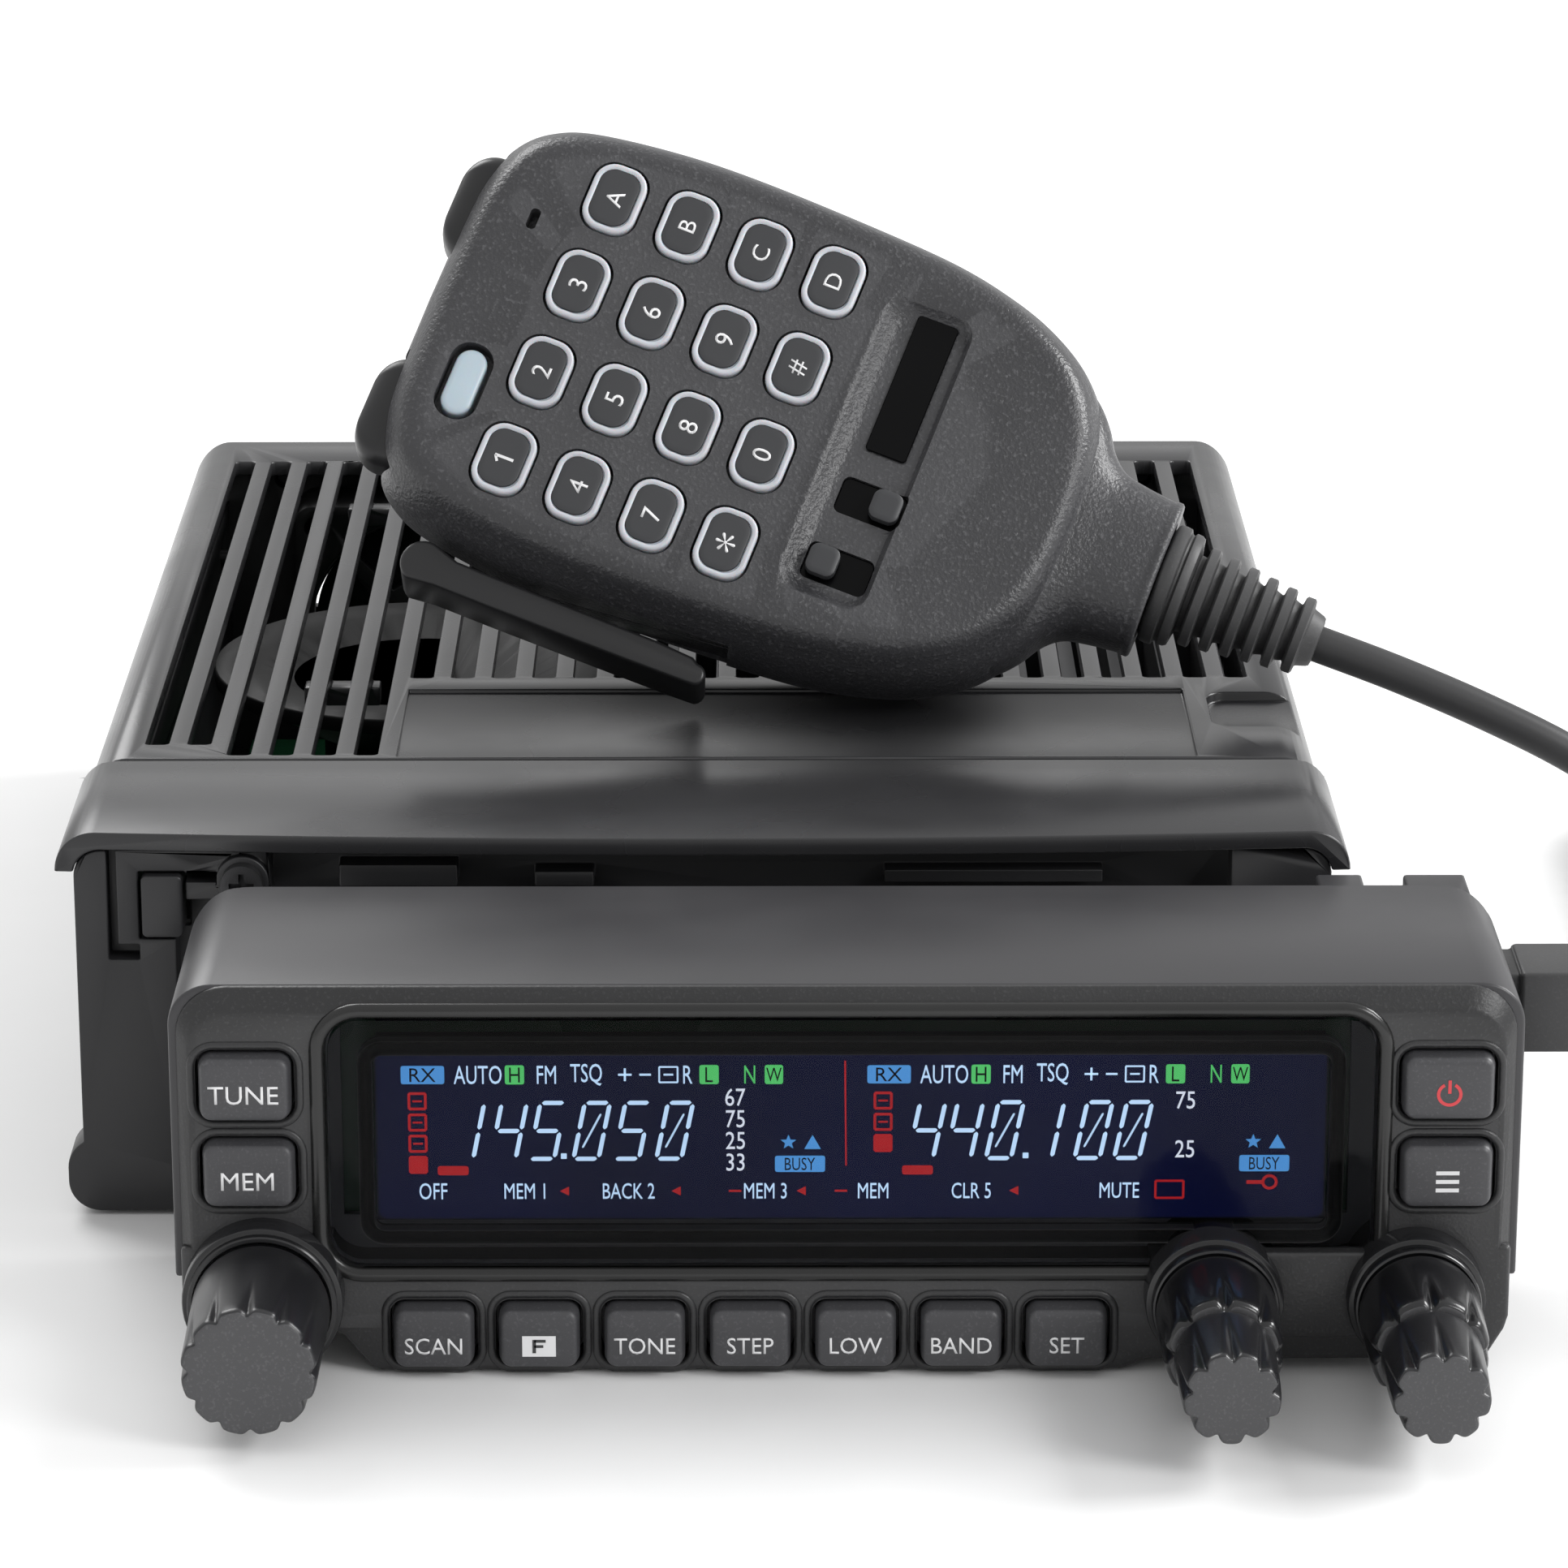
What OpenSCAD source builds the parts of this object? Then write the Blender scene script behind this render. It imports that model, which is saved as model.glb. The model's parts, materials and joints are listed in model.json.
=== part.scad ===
// Mobile transceiver: cabinet, detachable control head and hand microphone.
// Millimetres, +Z up, +Y to the back, origin at the middle of the cabinet's base.

/* [Cabinet] */
// Width over the cover's skirts
cab_w = 140; // [136:1:144]
// Depth of the cover, hood included
cab_d = 170; // [168:1:172]
// Height to the top of the cover
cab_h = 45; // [44.5:0.5:45.5]
// Number of cooling slots in the cover
slot_count = 27; // [21:2:27]
// Distance between neighbouring slots
slot_pitch = 4.82; // [4.6:0.01:4.85]
// Width of one slot
slot_w = 2.7; // [2:0.1:3]

/* [Bracket] */
// Distance between the two bracket holes on each side
bracket_gap = 60; // [50:1:70]
// Radius of the tapped bracket holes
bracket_r = 1.65; // [1.6:0.05:1.8]

/* [Rear] */
// Radius of the antenna socket's thread
antenna_r = 7.9; // [7.8:0.05:8]
// Radius of the speaker jacks' bores
jack_r = 1.8; // [1.75:0.05:1.85]
// Radius of the fan's opening
fan_r = 17; // [16.8:0.1:17.2]

/* [Head] */
// Width of the head
head_w = 140; // [139:1:141]
// Height of the head's top
head_h = 42.4; // [42:0.1:42.8]
// Depth of the head without knobs and lugs
head_d = 33.2; // [33:0.1:33.6]
// Sideways offset of the head from the cabinet's middle
head_x = 15.2; // [14.8:0.1:15.6]
// Travel of every key
key_travel = 0.8; // [0.5:0.1:0.9]
// Height of the knobs' axes
knob_z = 9; // [9:0.1:9.3]
// Radius of the main dial
dial_r = 7.2; // [6.8:0.1:7.3]
// Radius of the squelch rings
ring_r = 6.3; // [6:0.1:6.5]
// Radius of the volume knobs at their root
knob_r = 5.2; // [5:0.1:5.4]

/* [Microphone] */
// Lean of the microphone's face from lying flat, in degrees
mic_lean = 57.1; // [56.9:0.1:57.3]
// Roll of its long axis, cord end down, in degrees
mic_roll = 22.1; // [22:0.1:22.2]
// Distance between key columns along the microphone
key_pitch_a = 9.12; // [9:0.01:9.2]
// Distance between key rows across the microphone
key_pitch_w = 11.4; // [11.2:0.1:11.5]

/* [Cord] */
// Diameter of the cord
cord_d = 4.3; // [4.2:0.1:4.4]
// Outer diameter of the curly section
curl_d = 13; // [12.8:0.1:13]

/* [Hidden] */
$fn = 48;

half_w = cab_w / 2;
front_y = -cab_d / 2;
back_y = cab_d / 2;
head_y = front_y - 41.2;
dial_x = -60.6;
knob_xs = [38.2, 59.2];
side_keys = [[-62, 32.1], [-61.8, 22.6], [62, 32.1], [62.1, 22.4]];
row_key_x = -43;
row_key_pitch = 11;
row_key_z = 4.5;
mic_pos = [-4.1, -30.2, 83.75];
boot_end = 80;
mic_axis_n = -9.5;
fan_pos = [-38, 22];
side_screw_ys = [-64, 66];

// Routes of the two straight lengths of cord: mic boot to curly section, curly section to plug.
lead_route = [[70.5, -37.4, 53], [80, -39.3, 49.8], [90, -41.3, 45.9], [100, -43, 41.2],
    [109, -44, 35.4], [117, -44, 28.3], [123, -42.4, 20.8], [126.6, -39, 14.3],
    [127.2, -34.4, 9.6], [126, -29.3, 7.2], [125, -24, 6.5]];
plug_route = [[113.25, -101, 32.3], [120, -101, 31.6], [127, -101, 29.4], [134, -100, 25.4],
    [140, -98, 20], [146, -95, 14.2], [151.5, -90, 9.8], [155.5, -84, 7.6],
    [158, -77.5, 6.7], [159, -71.5, 6.5], [159, -67, 6.5]];

// ---------- shared shapes ----------

// Flat rounded rectangle, centred
module rrect(w, h, r) {
    square([w - 2 * r, h], center = true);
    square([w, h - 2 * r], center = true);
    for (sx = [-1, 1], sy = [-1, 1])
        translate([sx * (w / 2 - r), sy * (h / 2 - r)])
            circle(r);
}

// Rounded block standing in a wall that faces -Y: w wide, h high, from depth y0 to y1
module face_block(x, z, w, h, r, y0, y1) {
    translate([x, y1, z])
        rotate([90, 0, 0])
            linear_extrude(y1 - y0)
                rrect(w, h, r);
}

// Cylinder along Y from y0 to y1
module y_rod(x, z, r, y0, y1) {
    translate([x, y0, z])
        rotate([-90, 0, 0])
            cylinder(h = y1 - y0, r = r);
}

module box(a, b) {
    translate(a)
        cube(b - a);
}

// Cross-headed screw with its head's face at the origin, shank towards +Y
module screw(head_r, shank_r, length) {
    difference() {
        union() {
            y_rod(0, 0, head_r, 0, 1.4);
            y_rod(0, 0, shank_r, 1.3, length);
        }
        box([-head_r * 0.6, -1, -0.3], [head_r * 0.6, 0.7, 0.3]);
        box([-0.3, -1, -head_r * 0.6], [0.3, 0.7, head_r * 0.6]);
    }
}

module on_head() {
    translate([head_x, head_y, 0])
        children();
}

module on_mic() {
    translate(mic_pos)
        rotate([0, 0, 1])
            rotate([mic_lean, 0, 0])
                rotate([0, 0, -mic_roll])
                    children();
}

// Tube of radius r swept along a route, one ring per point, square to the way it runs
function unit(v) = v / norm(v);
function tangent(p, i) = unit(p[min(i + 1, len(p) - 1)] - p[max(i - 1, 0)]);
function side(t) = unit(cross(t, abs(t[2]) > 0.9 ? [0, 1, 0] : [0, 0, 1]));
module tube(route, r, sides) {
    n = len(route);
    pts = [for (i = [0:n - 1]) let (t = tangent(route, i), u = side(t), v = cross(t, u))
        for (k = [0:sides - 1]) route[i] + r * (cos(360 * k / sides) * u + sin(360 * k / sides) * v)];
    walls = [for (i = [0:n - 2], k = [0:sides - 1]) let (a = i * sides, b = (k + 1) % sides)
        [a + k, a + sides + k, a + sides + b, a + b]];
    first = [for (k = [0:sides - 1]) k];
    last = [for (k = [sides - 1:-1:0]) (n - 1) * sides + k];
    polyhedron(pts, concat([first], walls, [last]));
}

// ---------- cabinet ----------

module main_chassis() {
    color([0.2, 0.2, 0.21])
    difference() {
        translate([0, 80, 19])
            rotate([90, 0, 0])
                linear_extrude(154.5)
                    rrect(138, 38, 3);
        box([-65.5, -75, 3], [65.5, 81, 39]);
        for (s = [-1, 1], k = [0:3])
            box([s * 68.2 - 1, -60, 7 + 4 * k], [s * 68.2 + 1, 76, 9 + 4 * k]);
        for (s = [-1, 1], y = [-bracket_gap / 2, bracket_gap / 2])
            translate([s * 70, y, 30])
                rotate([0, -s * 90, 0])
                    cylinder(h = 6, r = bracket_r);
        for (s = [-1, 1], y = side_screw_ys)
            translate([s * 70, y, 34])
                rotate([0, -s * 90, 0])
                    cylinder(h = 6, r = 1.3);
    }
    color([0.2, 0.2, 0.21])
        for (x = [-56, 56], y = [-58, 58])
            translate([x, y, 2.9])
                cylinder(h = 4, r = 3);
}

// Section of the cover across the cabinet: a lid with rounded shoulders and short skirts
module lid_section(hw, z_low, wall, r) {
    difference() {
        translate([0, cab_h - 8])
            rrect(2 * hw, 16, r);
        translate([-hw - 1, -10])
            square([2 * hw + 2, z_low + 10]);
        translate([0, cab_h - 8 - wall])
            rrect(2 * (hw - wall), 16, r - wall + 0.6);
    }
}

module slot_cut(x, y0, y1) {
    translate([x, (y0 + y1) / 2, cab_h - 2.1])
        linear_extrude(4)
            rrect(slot_w, y1 - y0, 0.7);
}

module top_cover() {
    color([0.27, 0.27, 0.28])
    difference() {
        union() {
            translate([0, back_y, 0])
                rotate([90, 0, 0])
                    linear_extrude(cab_d - 28.5)
                        lid_section(half_w, 38.4, 2, 4.5);
            translate([0, front_y + 28.6, 0])
                rotate([90, 0, 0])
                    linear_extrude(28.6)
                        lid_section(half_w + 1, 40.4, 2, 4.5);
            box([-66, back_y - 1.8, 38.4], [66, back_y, cab_h - 1]);
            for (x = [-43.4, 0, 43.4], y = [-22, 58])
                box([x - 4.5, y, 40.6], [x + 4.5, y + 3, cab_h - 1.9]);
        }
        // rounded rear corners in plan
        for (s = [-1, 1])
            difference() {
                box([s * (half_w - 2) - 3, back_y - 5, 30], [s * (half_w - 2) + 3, back_y + 1, 50]);
                translate([s * (half_w - 5), back_y - 5, 29])
                    cylinder(h = 22, r = 5);
            }
        // bowed front edge
        difference() {
            box([-80, front_y - 5, 30], [80, front_y + 4, 50]);
            translate([0, front_y + 980, 29])
                cylinder(h = 22, r = 980, $fn = 400);
        }
        // cooling slots: two short, four long, the rest end at the label field
        for (k = [0:slot_count - 1])
            slot_cut((k - (slot_count - 1) / 2) * slot_pitch,
                k < 2 ? -50.8 : k < 6 ? -54.8 : -24.9, 74.5);
        // label field and the scooped thumb notch
        box([-35, -55.4, cab_h - 0.5], [56, -29.6, cab_h + 1]);
        translate([66.6, -37.6, cab_h - 1.2])
            linear_extrude(3)
                rrect(16, 13.4, 2.5);
        // holes of the two rear screws
        for (s = [-1, 1])
            y_rod(s * 58, 41, 1.2, back_y - 3, back_y + 1);
        // groove between the hood and the lid
        box([-72, front_y + 28.2, cab_h - 0.4], [72, front_y + 28.8, cab_h + 1]);
    }
}

module front_frame() {
    color([0.19, 0.19, 0.2])
    difference() {
        union() {
            face_block(0, 21.5, 138, 42.4, 3, -82, -75.3);
            face_block(0, 4.6, 141.6, 8.6, 3.5, -82, -76);
            y_rod(-50.4, 39.4, 2.9, -83, -77.2);
        }
        // recess that takes the head's back
        box([-58, -83, 5.5], [58, -77.3, 37]);
        box([-47.5, -83, 36], [58, -77.3, 44]);
        // way in for the body connector
        box([-32, -80, 12], [-16, -70, 24]);
        // L-shaped clip slot and the latch window in the left cheek
        box([-65.4, -83, 30], [-64.3, -79, 44]);
        box([-65.4, -83, 30], [-62, -79, 31.8]);
        box([-61.95, -83, 32.45], [-56.75, -75, 40.25]);
        box([-60, -83.5, 39], [-53.2, -77.3, 40.2]);
        y_rod(-50.4, 39.4, 1.2, -84, -78);
    }
    // guide rails and bulkhead ribs
    color([0.1, 0.1, 0.1]) {
        box([-40, -80.3, 38], [-27, -77.2, 40.4]);
        box([-18.5, -80.3, 38], [-12, -77.2, 39.6]);
        box([20, -79.8, 38.2], [44, -77.2, 39.6]);
        for (x = [-50, -6, 14, 34, 52])
            box([x - 0.8, -78.3, 6], [x + 0.8, -77.2, 36]);
    }
}

module release_latch() {
    color([0.16, 0.16, 0.17]) {
        face_block(-59.35, 36.35, 4.5, 7.1, 0.6, -82.6, -78);
        box([-60.6, -78.1, 33.6], [-58.1, -75.6, 35.6]);
    }
}

module rear_panel() {
    color([0.2, 0.2, 0.21])
    difference() {
        face_block(0, 21.5, 138, 42.4, 3, 80.3, 83);
        difference() {
            y_rod(fan_pos[0], fan_pos[1], fan_r, 79, 84);
            for (r = [4, 8.2, 12.4])
                difference() {
                    y_rod(fan_pos[0], fan_pos[1], r + 0.7, 81, 83);
                    y_rod(fan_pos[0], fan_pos[1], r - 0.7, 79, 84);
                }
            for (a = [0, 60, 120])
                translate([fan_pos[0], 82, fan_pos[1]])
                    rotate([0, a, 0])
                        cube([2 * fan_r + 2, 2, 1.6], center = true);
        }
        y_rod(46, 24, 8.2, 79, 84);
        box([-3, 79, 6], [21, 84, 18]);
        for (x = [2, 16])
            y_rod(x, 30, 3.9, 79, 84);
        for (s = [-1, 1]) {
            box([s * 69.4 - 1.6, 79, 38.2], [s * 69.4 + 1.6, 84, 43]);
            y_rod(s * 58, 41, 1.2, 79, 84);
        }
    }
}

module fan_frame() {
    color([0.07, 0.07, 0.07])
    translate([fan_pos[0], 0, fan_pos[1]])
    difference() {
        union() {
            difference() {
                face_block(0, 0, 36, 36, 2.5, 69.8, 79.8);
                y_rod(0, 0, 16.6, 69, 81);
            }
            y_rod(0, 0, 8, 69.8, 72);
            for (a = [45, 135, 225, 315])
                rotate([0, a, 0])
                    box([6, 69.8, -1], [17.5, 71.4, 1]);
        }
        y_rod(0, 0, 1.05, 69, 73);
        for (sx = [-1, 1], sz = [-1, 1])
            y_rod(sx * 15, sz * 15, 1.6, 69, 81);
    }
}

module fan_rotor() {
    color([0.06, 0.06, 0.06])
    translate([fan_pos[0], 0, fan_pos[1]]) {
        y_rod(0, 0, 1, 70, 73);
        y_rod(0, 0, 7.6, 72.5, 79);
        for (k = [0:6])
            rotate([0, k * 360 / 7, 0])
                translate([11.4, 75.8, 0])
                    rotate([35, 0, 0])
                        cube([8.8, 1.1, 8], center = true);
    }
}

module antenna_socket() {
    color([0.72, 0.72, 0.7])
    difference() {
        union() {
            y_rod(46, 24, antenna_r, 79.5, 100);
            face_block(46, 24, 24, 24, 2, 83.1, 85.1);
        }
        y_rod(46, 24, 5.4, 88, 101);
        for (sx = [-1, 1], sz = [-1, 1])
            y_rod(46 + sx * 9, 24 + sz * 9, 1.5, 82, 86);
    }
    color([0.8, 0.65, 0.3])
    difference() {
        y_rod(46, 24, 2.6, 87.5, 98);
        y_rod(46, 24, 2, 90, 99);
    }
}

module dc_inlet() {
    color([0.08, 0.08, 0.08])
    difference() {
        face_block(9, 12, 23, 11, 1, 74, 92);
        box([-0.5, 80, 8.5], [18.5, 93, 15.5]);
    }
    color([0.8, 0.7, 0.3])
        for (x = [4, 14])
            box([x - 1, 79, 11], [x + 1, 84, 13]);
}

module jack_sockets() {
    for (x = [2, 16]) {
        color([0.1, 0.1, 0.1])
        difference() {
            union() {
                face_block(x, 30, 9, 9, 0.8, 68, 80.1);
                y_rod(x, 30, 3.7, 80, 83.5);
            }
            y_rod(x, 30, jack_r, 70, 90);
        }
        color([0.7, 0.7, 0.7])
        difference() {
            y_rod(x, 30, 4.6, 83.4, 85);
            y_rod(x, 30, jack_r, 83, 86);
        }
    }
}

module main_board() {
    color([0.05, 0.25, 0.12])
        box([-62, -66, 7], [62, 66, 8.6]);
    color([0.6, 0.6, 0.62]) {
        box([-50, -56, 8.5], [-20, -20, 14]);
        box([-12, -58, 8.5], [18, -30, 13]);
        box([26, -60, 8.5], [56, -26, 15]);
    }
}

module heatsink() {
    color([0.45, 0.45, 0.46]) {
        box([-6, -18, 8.8], [62, 64, 14]);
        for (k = [0:11])
            box([-5 + 6 * k, -18, 13.9], [-3.2 + 6 * k, 64, 39.6]);
        for (y = [-10, 26, 56])
            box([-5, y, 13.9], [62, y + 2, 36]);
    }
}

module speaker() {
    color([0.14, 0.14, 0.14])
    difference() {
        union() {
            translate([-36, 10, 20])
                cylinder(h = 9, r = 12);
            translate([-36, 10, 28.9])
                cylinder(h = 6, r1 = 14, r2 = 24);
            translate([-36, 10, 34.8])
                cylinder(h = 2, r = 25.5);
        }
        translate([-36, 10, 31])
            cylinder(h = 7, r1 = 8, r2 = 22);
    }
    color([0.3, 0.3, 0.31])
        for (y = [-13, 33])
            box([-39, y - 2, 8.7], [-33, y + 2, 34.9]);
}

module body_connector() {
    color([0.09, 0.09, 0.09])
    difference() {
        box([-31.6, -77.3, 12.4], [-16.4, -66.8, 23.6]);
        box([-30, -78, 13.8], [-18, -69, 22.2]);
    }
    color([0.8, 0.65, 0.3])
        for (k = [0:7])
            box([-28.9 + 1.3 * k, -74, 20.9], [-28.5 + 1.3 * k, -68.5, 22.3]);
}

module cabinet_screws() {
    color([0.12, 0.12, 0.12]) {
        translate([-50.4, -84.5, 39.4])
            screw(2.3, 1.1, 5);
        for (s = [-1, 1])
            translate([s * 58, 86.45, 41])
                rotate([0, 0, 180])
                    screw(2.4, 1.1, 4);
        for (s = [-1, 1], y = side_screw_ys)
            translate([s * 70.45, y, 34])
                rotate([0, 0, s * 90])
                    screw(2.6, 1.2, 6);
    }
}

// ---------- control head ----------

module head_outline(r) {
    translate([0, (head_h + 1.2) / 2])
        rrect(head_w - 1.6, head_h - 1.2, r);
}

module head_shell() {
    color([0.24, 0.24, 0.25])
    on_head()
    difference() {
        union() {
            intersection() {
                face_block(0, (head_h + 2.4) / 2, head_w, head_h - 2.4, 4.5, 1.8, head_d);
                translate([0, 1.8 + (head_d - 1.8) / 2 - 5, -1])
                    linear_extrude(60)
                        rrect(head_w, head_d - 1.8 + 10, 7);
            }
            box([51.5, head_d - 1, 35], [56.5, head_d + 5.8, head_h - 0.8]);
            box([61, head_d - 1, 35], [67.7, head_d + 5.8, head_h - 0.8]);
        }
        difference() {
            face_block(0, (head_h + 2.4) / 2, head_w - 4, head_h - 6.4, 3, 1, head_d - 2);
            for (x = [-40, 40])
                y_rod(x, 34, 3, head_d - 9, head_d);
            box([-68.5, head_d - 7, 4], [-63.5, head_d, 41]);
            box([63.5, head_d - 7, 4], [68.5, head_d, 25]);
        }
        // the bezel's lower block fills this corner
        box([-71, 0, 0], [71, 9.6, 10]);
        // microphone jack opening and the rear lead opening
        box([66, 20, 27.6], [71, 30.4, 37]);
        box([-20, head_d - 3, 12], [-6, head_d + 1, 22]);
        // tapped holes for a remote bracket
        for (x = [-40, 40])
            y_rod(x, 34, 1.25, head_d - 8, head_d + 1);
        // screw recesses
        for (x = [-58, 48]) {
            y_rod(x, 8, 2.9, head_d - 1.5, head_d + 1);
            y_rod(x, 8, 1.2, head_d - 3, head_d);
        }
        // cooling grooves in the back
        for (k = [0:5])
            box([-54 + 5 * k, head_d - 0.8, 14], [-52.4 + 5 * k, head_d + 1, 28]);
    }
}

module knob_holes() {
    for (x = concat([dial_x], knob_xs))
        y_rod(x, knob_z, 3.4, -8, 12);
}

module head_bezel() {
    color([0.17, 0.17, 0.18])
    on_head()
    difference() {
        union() {
            translate([0, 1.5, 0])
                rotate([90, 0, 0])
                    linear_extrude(1.5)
                        intersection() {
                            head_outline(4);
                            translate([-80, 9])
                                square([160, 40]);
                        }
            face_block(0, 24.7, head_w - 4.6, 30.6, 3, 0.2, 3);
            // lower block: left wing, key strip and right wing
            box([-69.2, 0, 4.6], [-50, 9.2, 9.8]);
            box([-52, 0, 0.1], [31, 9.2, 9.8]);
            box([30, 0, 1.2], [69.2, 9.2, 9.8]);
            // raised collars round the knobs
            y_rod(dial_x, knob_z, 8.4, -3, 1.6);
            y_rod(dial_x, knob_z, 7.1, 1.5, 5.7);
            y_rod(dial_x, knob_z, 7.8, -4, 0);
            for (x = knob_xs) {
                y_rod(x, knob_z, 7.2, -3.4, 5.7);
                y_rod(x, knob_z, 6.6, -5, 0);
            }
            // rims round the window and the keys
            face_block(0.5, 25.6, 111, 30, 4.6, -0.6, 1);
            for (p = side_keys)
                face_block(p[0], p[1], 12, 9.4, 2.2, -0.4, 1);
            for (k = [0:6])
                face_block(row_key_x + k * row_key_pitch, row_key_z + 0.5, 10.6, 9, 1.8, -0.8, 1);
        }
        face_block(0.5, 25.6, 108.6, 27.6, 3.6, -2, 4);
        for (p = side_keys)
            face_block(p[0], p[1], 10.3, 7.8, 1.6, -2, 4);
        for (k = [0:6])
            face_block(row_key_x + k * row_key_pitch, row_key_z, 9.2, 7.4, 1.2, -2, 4);
        box([-50, 3, 0.8], [29.8, 10, 8.6]);
        box([-49.6, 3, 8], [29.5, 10, 12]);
        knob_holes();
    }
}

module display_window() {
    color([0.01, 0.01, 0.012])
    on_head()
        face_block(0.5, 25.6, 108, 27, 3.3, 0.2, 1.8);
}

module display_module() {
    color([0.02, 0.05, 0.2])
    on_head()
        box([-48.8, 2.1, 16.4], [49.8, 6.8, 35.4]);
}

module head_board() {
    color([0.05, 0.25, 0.12])
    on_head()
    difference() {
        union() {
            box([-62.5, 7, 11], [62.5, 8.6, 38.5]);
            box([-49, 7, 1.5], [29, 8.6, 11.2]);
        }
        knob_holes();
    }
}

// Silicone sheet with a dome behind every key, cut away behind the display
module key_membrane() {
    color([0.6, 0.6, 0.58])
    on_head() {
        difference() {
            union() {
                for (s = [-1, 1])
                    box([s * 59.5 - 7, 5.9, 12], [s * 59.5 + 7, 6.8, 38]);
                box([-49, 5.9, 1.4], [29, 6.8, 14]);
                box([-60, 5.9, 11.5], [60, 6.8, 15.5]);
            }
            box([-49.5, 5, 16], [50.5, 8, 36]);
            knob_holes();
        }
        for (p = side_keys)
            y_rod(p[0], p[1], 1.8, 4.5 + key_travel, 6);
        for (k = [0:6])
            y_rod(row_key_x + k * row_key_pitch, row_key_z, 1.8, 4.5 + key_travel, 6);
    }
}

module control_bodies() {
    on_head() {
        color([0.5, 0.5, 0.48])
        difference() {
            face_block(dial_x + 2.4, knob_z + 2.2, 12, 12.5, 0.6, 9.9, 18);
            y_rod(dial_x, knob_z, 3.05, 9, 17);
        }
        for (x = knob_xs)
            color([0.5, 0.5, 0.48])
            difference() {
                face_block(x, knob_z + 2.2, 12, 12.5, 0.6, 9.9, 22);
                y_rod(x, knob_z, 3.05, 9, 13.5);
                y_rod(x, knob_z, 1.55, 12, 21);
            }
    }
}

module mic_jack() {
    color([0.1, 0.1, 0.1])
    on_head()
    difference() {
        box([52, 18.8, 26], [67.6, 30.9, 38.2]);
        box([54.5, 20.3, 28.6], [68, 30.1, 36]);
    }
}

module head_screws() {
    color([0.12, 0.12, 0.12])
    on_head()
        for (x = [-58, 48])
            translate([x, head_d - 0.05, 8])
                rotate([0, 0, 180])
                    screw(2.4, 1.1, 8);
}

module key_cap(x, z, w, h, y_face) {
    on_head() {
        face_block(x, z, w, h, 1.2, y_face, 3.6);
        face_block(x, z, w + 1.3, h + 0.6, 0.8, 3.4, 4.2);
    }
}

module key_left_upper() { color([0.22, 0.22, 0.23]) key_cap(-62, 32.1, 9.5, 7, -1.6); }
module key_left_lower() { color([0.22, 0.22, 0.23]) key_cap(-61.8, 22.6, 9.5, 7, -1.6); }
module key_power() { color([0.22, 0.22, 0.23]) key_cap(62, 32.1, 9.5, 7, -1.6); }
module key_menu() { color([0.22, 0.22, 0.23]) key_cap(62.1, 22.4, 9.5, 7, -1.6); }

module key_row(i) {
    color([0.22, 0.22, 0.23])
        key_cap(row_key_x + (i - 1) * row_key_pitch, row_key_z, 8.4, 6.6, -2);
}

// Lobed grip: a round body with shallow scallops cut down its side
module lobed(r, y0, y1, lobes, bite) {
    difference() {
        y_rod(0, 0, r, y0, y1);
        for (k = [0:lobes - 1])
            rotate([0, (k + 0.5) * 360 / lobes, 0])
                y_rod(r + 1.5, 0, 1.5 + bite, y0 - 1, y1 - (y1 - y0) * 0.45);
    }
}

module main_dial() {
    color([0.13, 0.13, 0.14])
    on_head()
        translate([dial_x, 0, knob_z])
            difference() {
                lobed(dial_r, -21, -4.4, 12, 0.5);
                y_rod(0, 0, 3, -14, 0);
            }
}

module dial_shaft() {
    color([0.7, 0.7, 0.68])
    on_head()
        y_rod(dial_x, knob_z, 3, -14, 16.8);
}

module volume_knob(i) {
    color([0.13, 0.13, 0.14])
    on_head()
        translate([knob_xs[i], 0, knob_z])
            difference() {
                lobed(knob_r, -28, -17.5, 8, 0.6);
                y_rod(0, 0, 1.5, -26, -17);
            }
}

module volume_shaft(i) {
    color([0.7, 0.7, 0.68])
    on_head()
        y_rod(knob_xs[i], knob_z, 1.5, -26, 20.8);
}

module squelch_ring(i) {
    color([0.08, 0.08, 0.085])
    on_head()
        translate([knob_xs[i], 0, knob_z])
            difference() {
                union() {
                    lobed(ring_r, -17.1, -5.4, 8, 0.5);
                    y_rod(0, 0, 3, -6, 13.2);
                }
                y_rod(0, 0, 1.58, -18, 14);
            }
}

// ---------- hand microphone ----------
// Its own axes: x runs along it to the cord end, y across it, z out of its face.

// Half of the outline, from the middle of the top end round to the middle of the cord end
mic_half = [[-30.5, 0], [-30.3, 12], [-29.6, 17], [-28, 21.2], [-25, 24.2], [-20, 26.2], [-10, 27.6],
    [0, 28], [14, 27.6], [26, 26.8], [34, 25.2], [40, 23], [45, 19.8], [48.6, 15.4], [51, 9.5], [51.8, 0]];
mic_ring = concat(mic_half, [for (i = [len(mic_half) - 2:-1:1]) [mic_half[i][0], -mic_half[i][1]]]);

// Ring of the outline drawn in by d, at height n
function mic_level(n, d) = [for (p = mic_ring)
    [10.5 + (p[0] - 10.5) * (1 - d / 41), p[1] * (1 - d / 28), n]];

// Closed solid through a stack of rings, lowest ring first
module loft(rings) {
    m = len(rings[0]);
    n = len(rings);
    pts = [for (r = rings, p = r) p];
    walls = [for (i = [0:n - 2], k = [0:m - 1]) let (a = i * m, b = (k + 1) % m)
        each [[a + k, a + m + b, a + m + k], [a + k, a + b, a + m + b]]];
    low = [for (k = [1:m - 2]) [0, k + 1, k]];
    high = [for (k = [1:m - 2]) [(n - 1) * m, (n - 1) * m + k, (n - 1) * m + k + 1]];
    polyhedron(pts, concat(high, walls, low));
}

module mic_block(x, y, w, h, r, n0, n1) {
    translate([x, y, n0])
        linear_extrude(n1 - n0)
            rrect(w, h, r);
}

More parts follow.
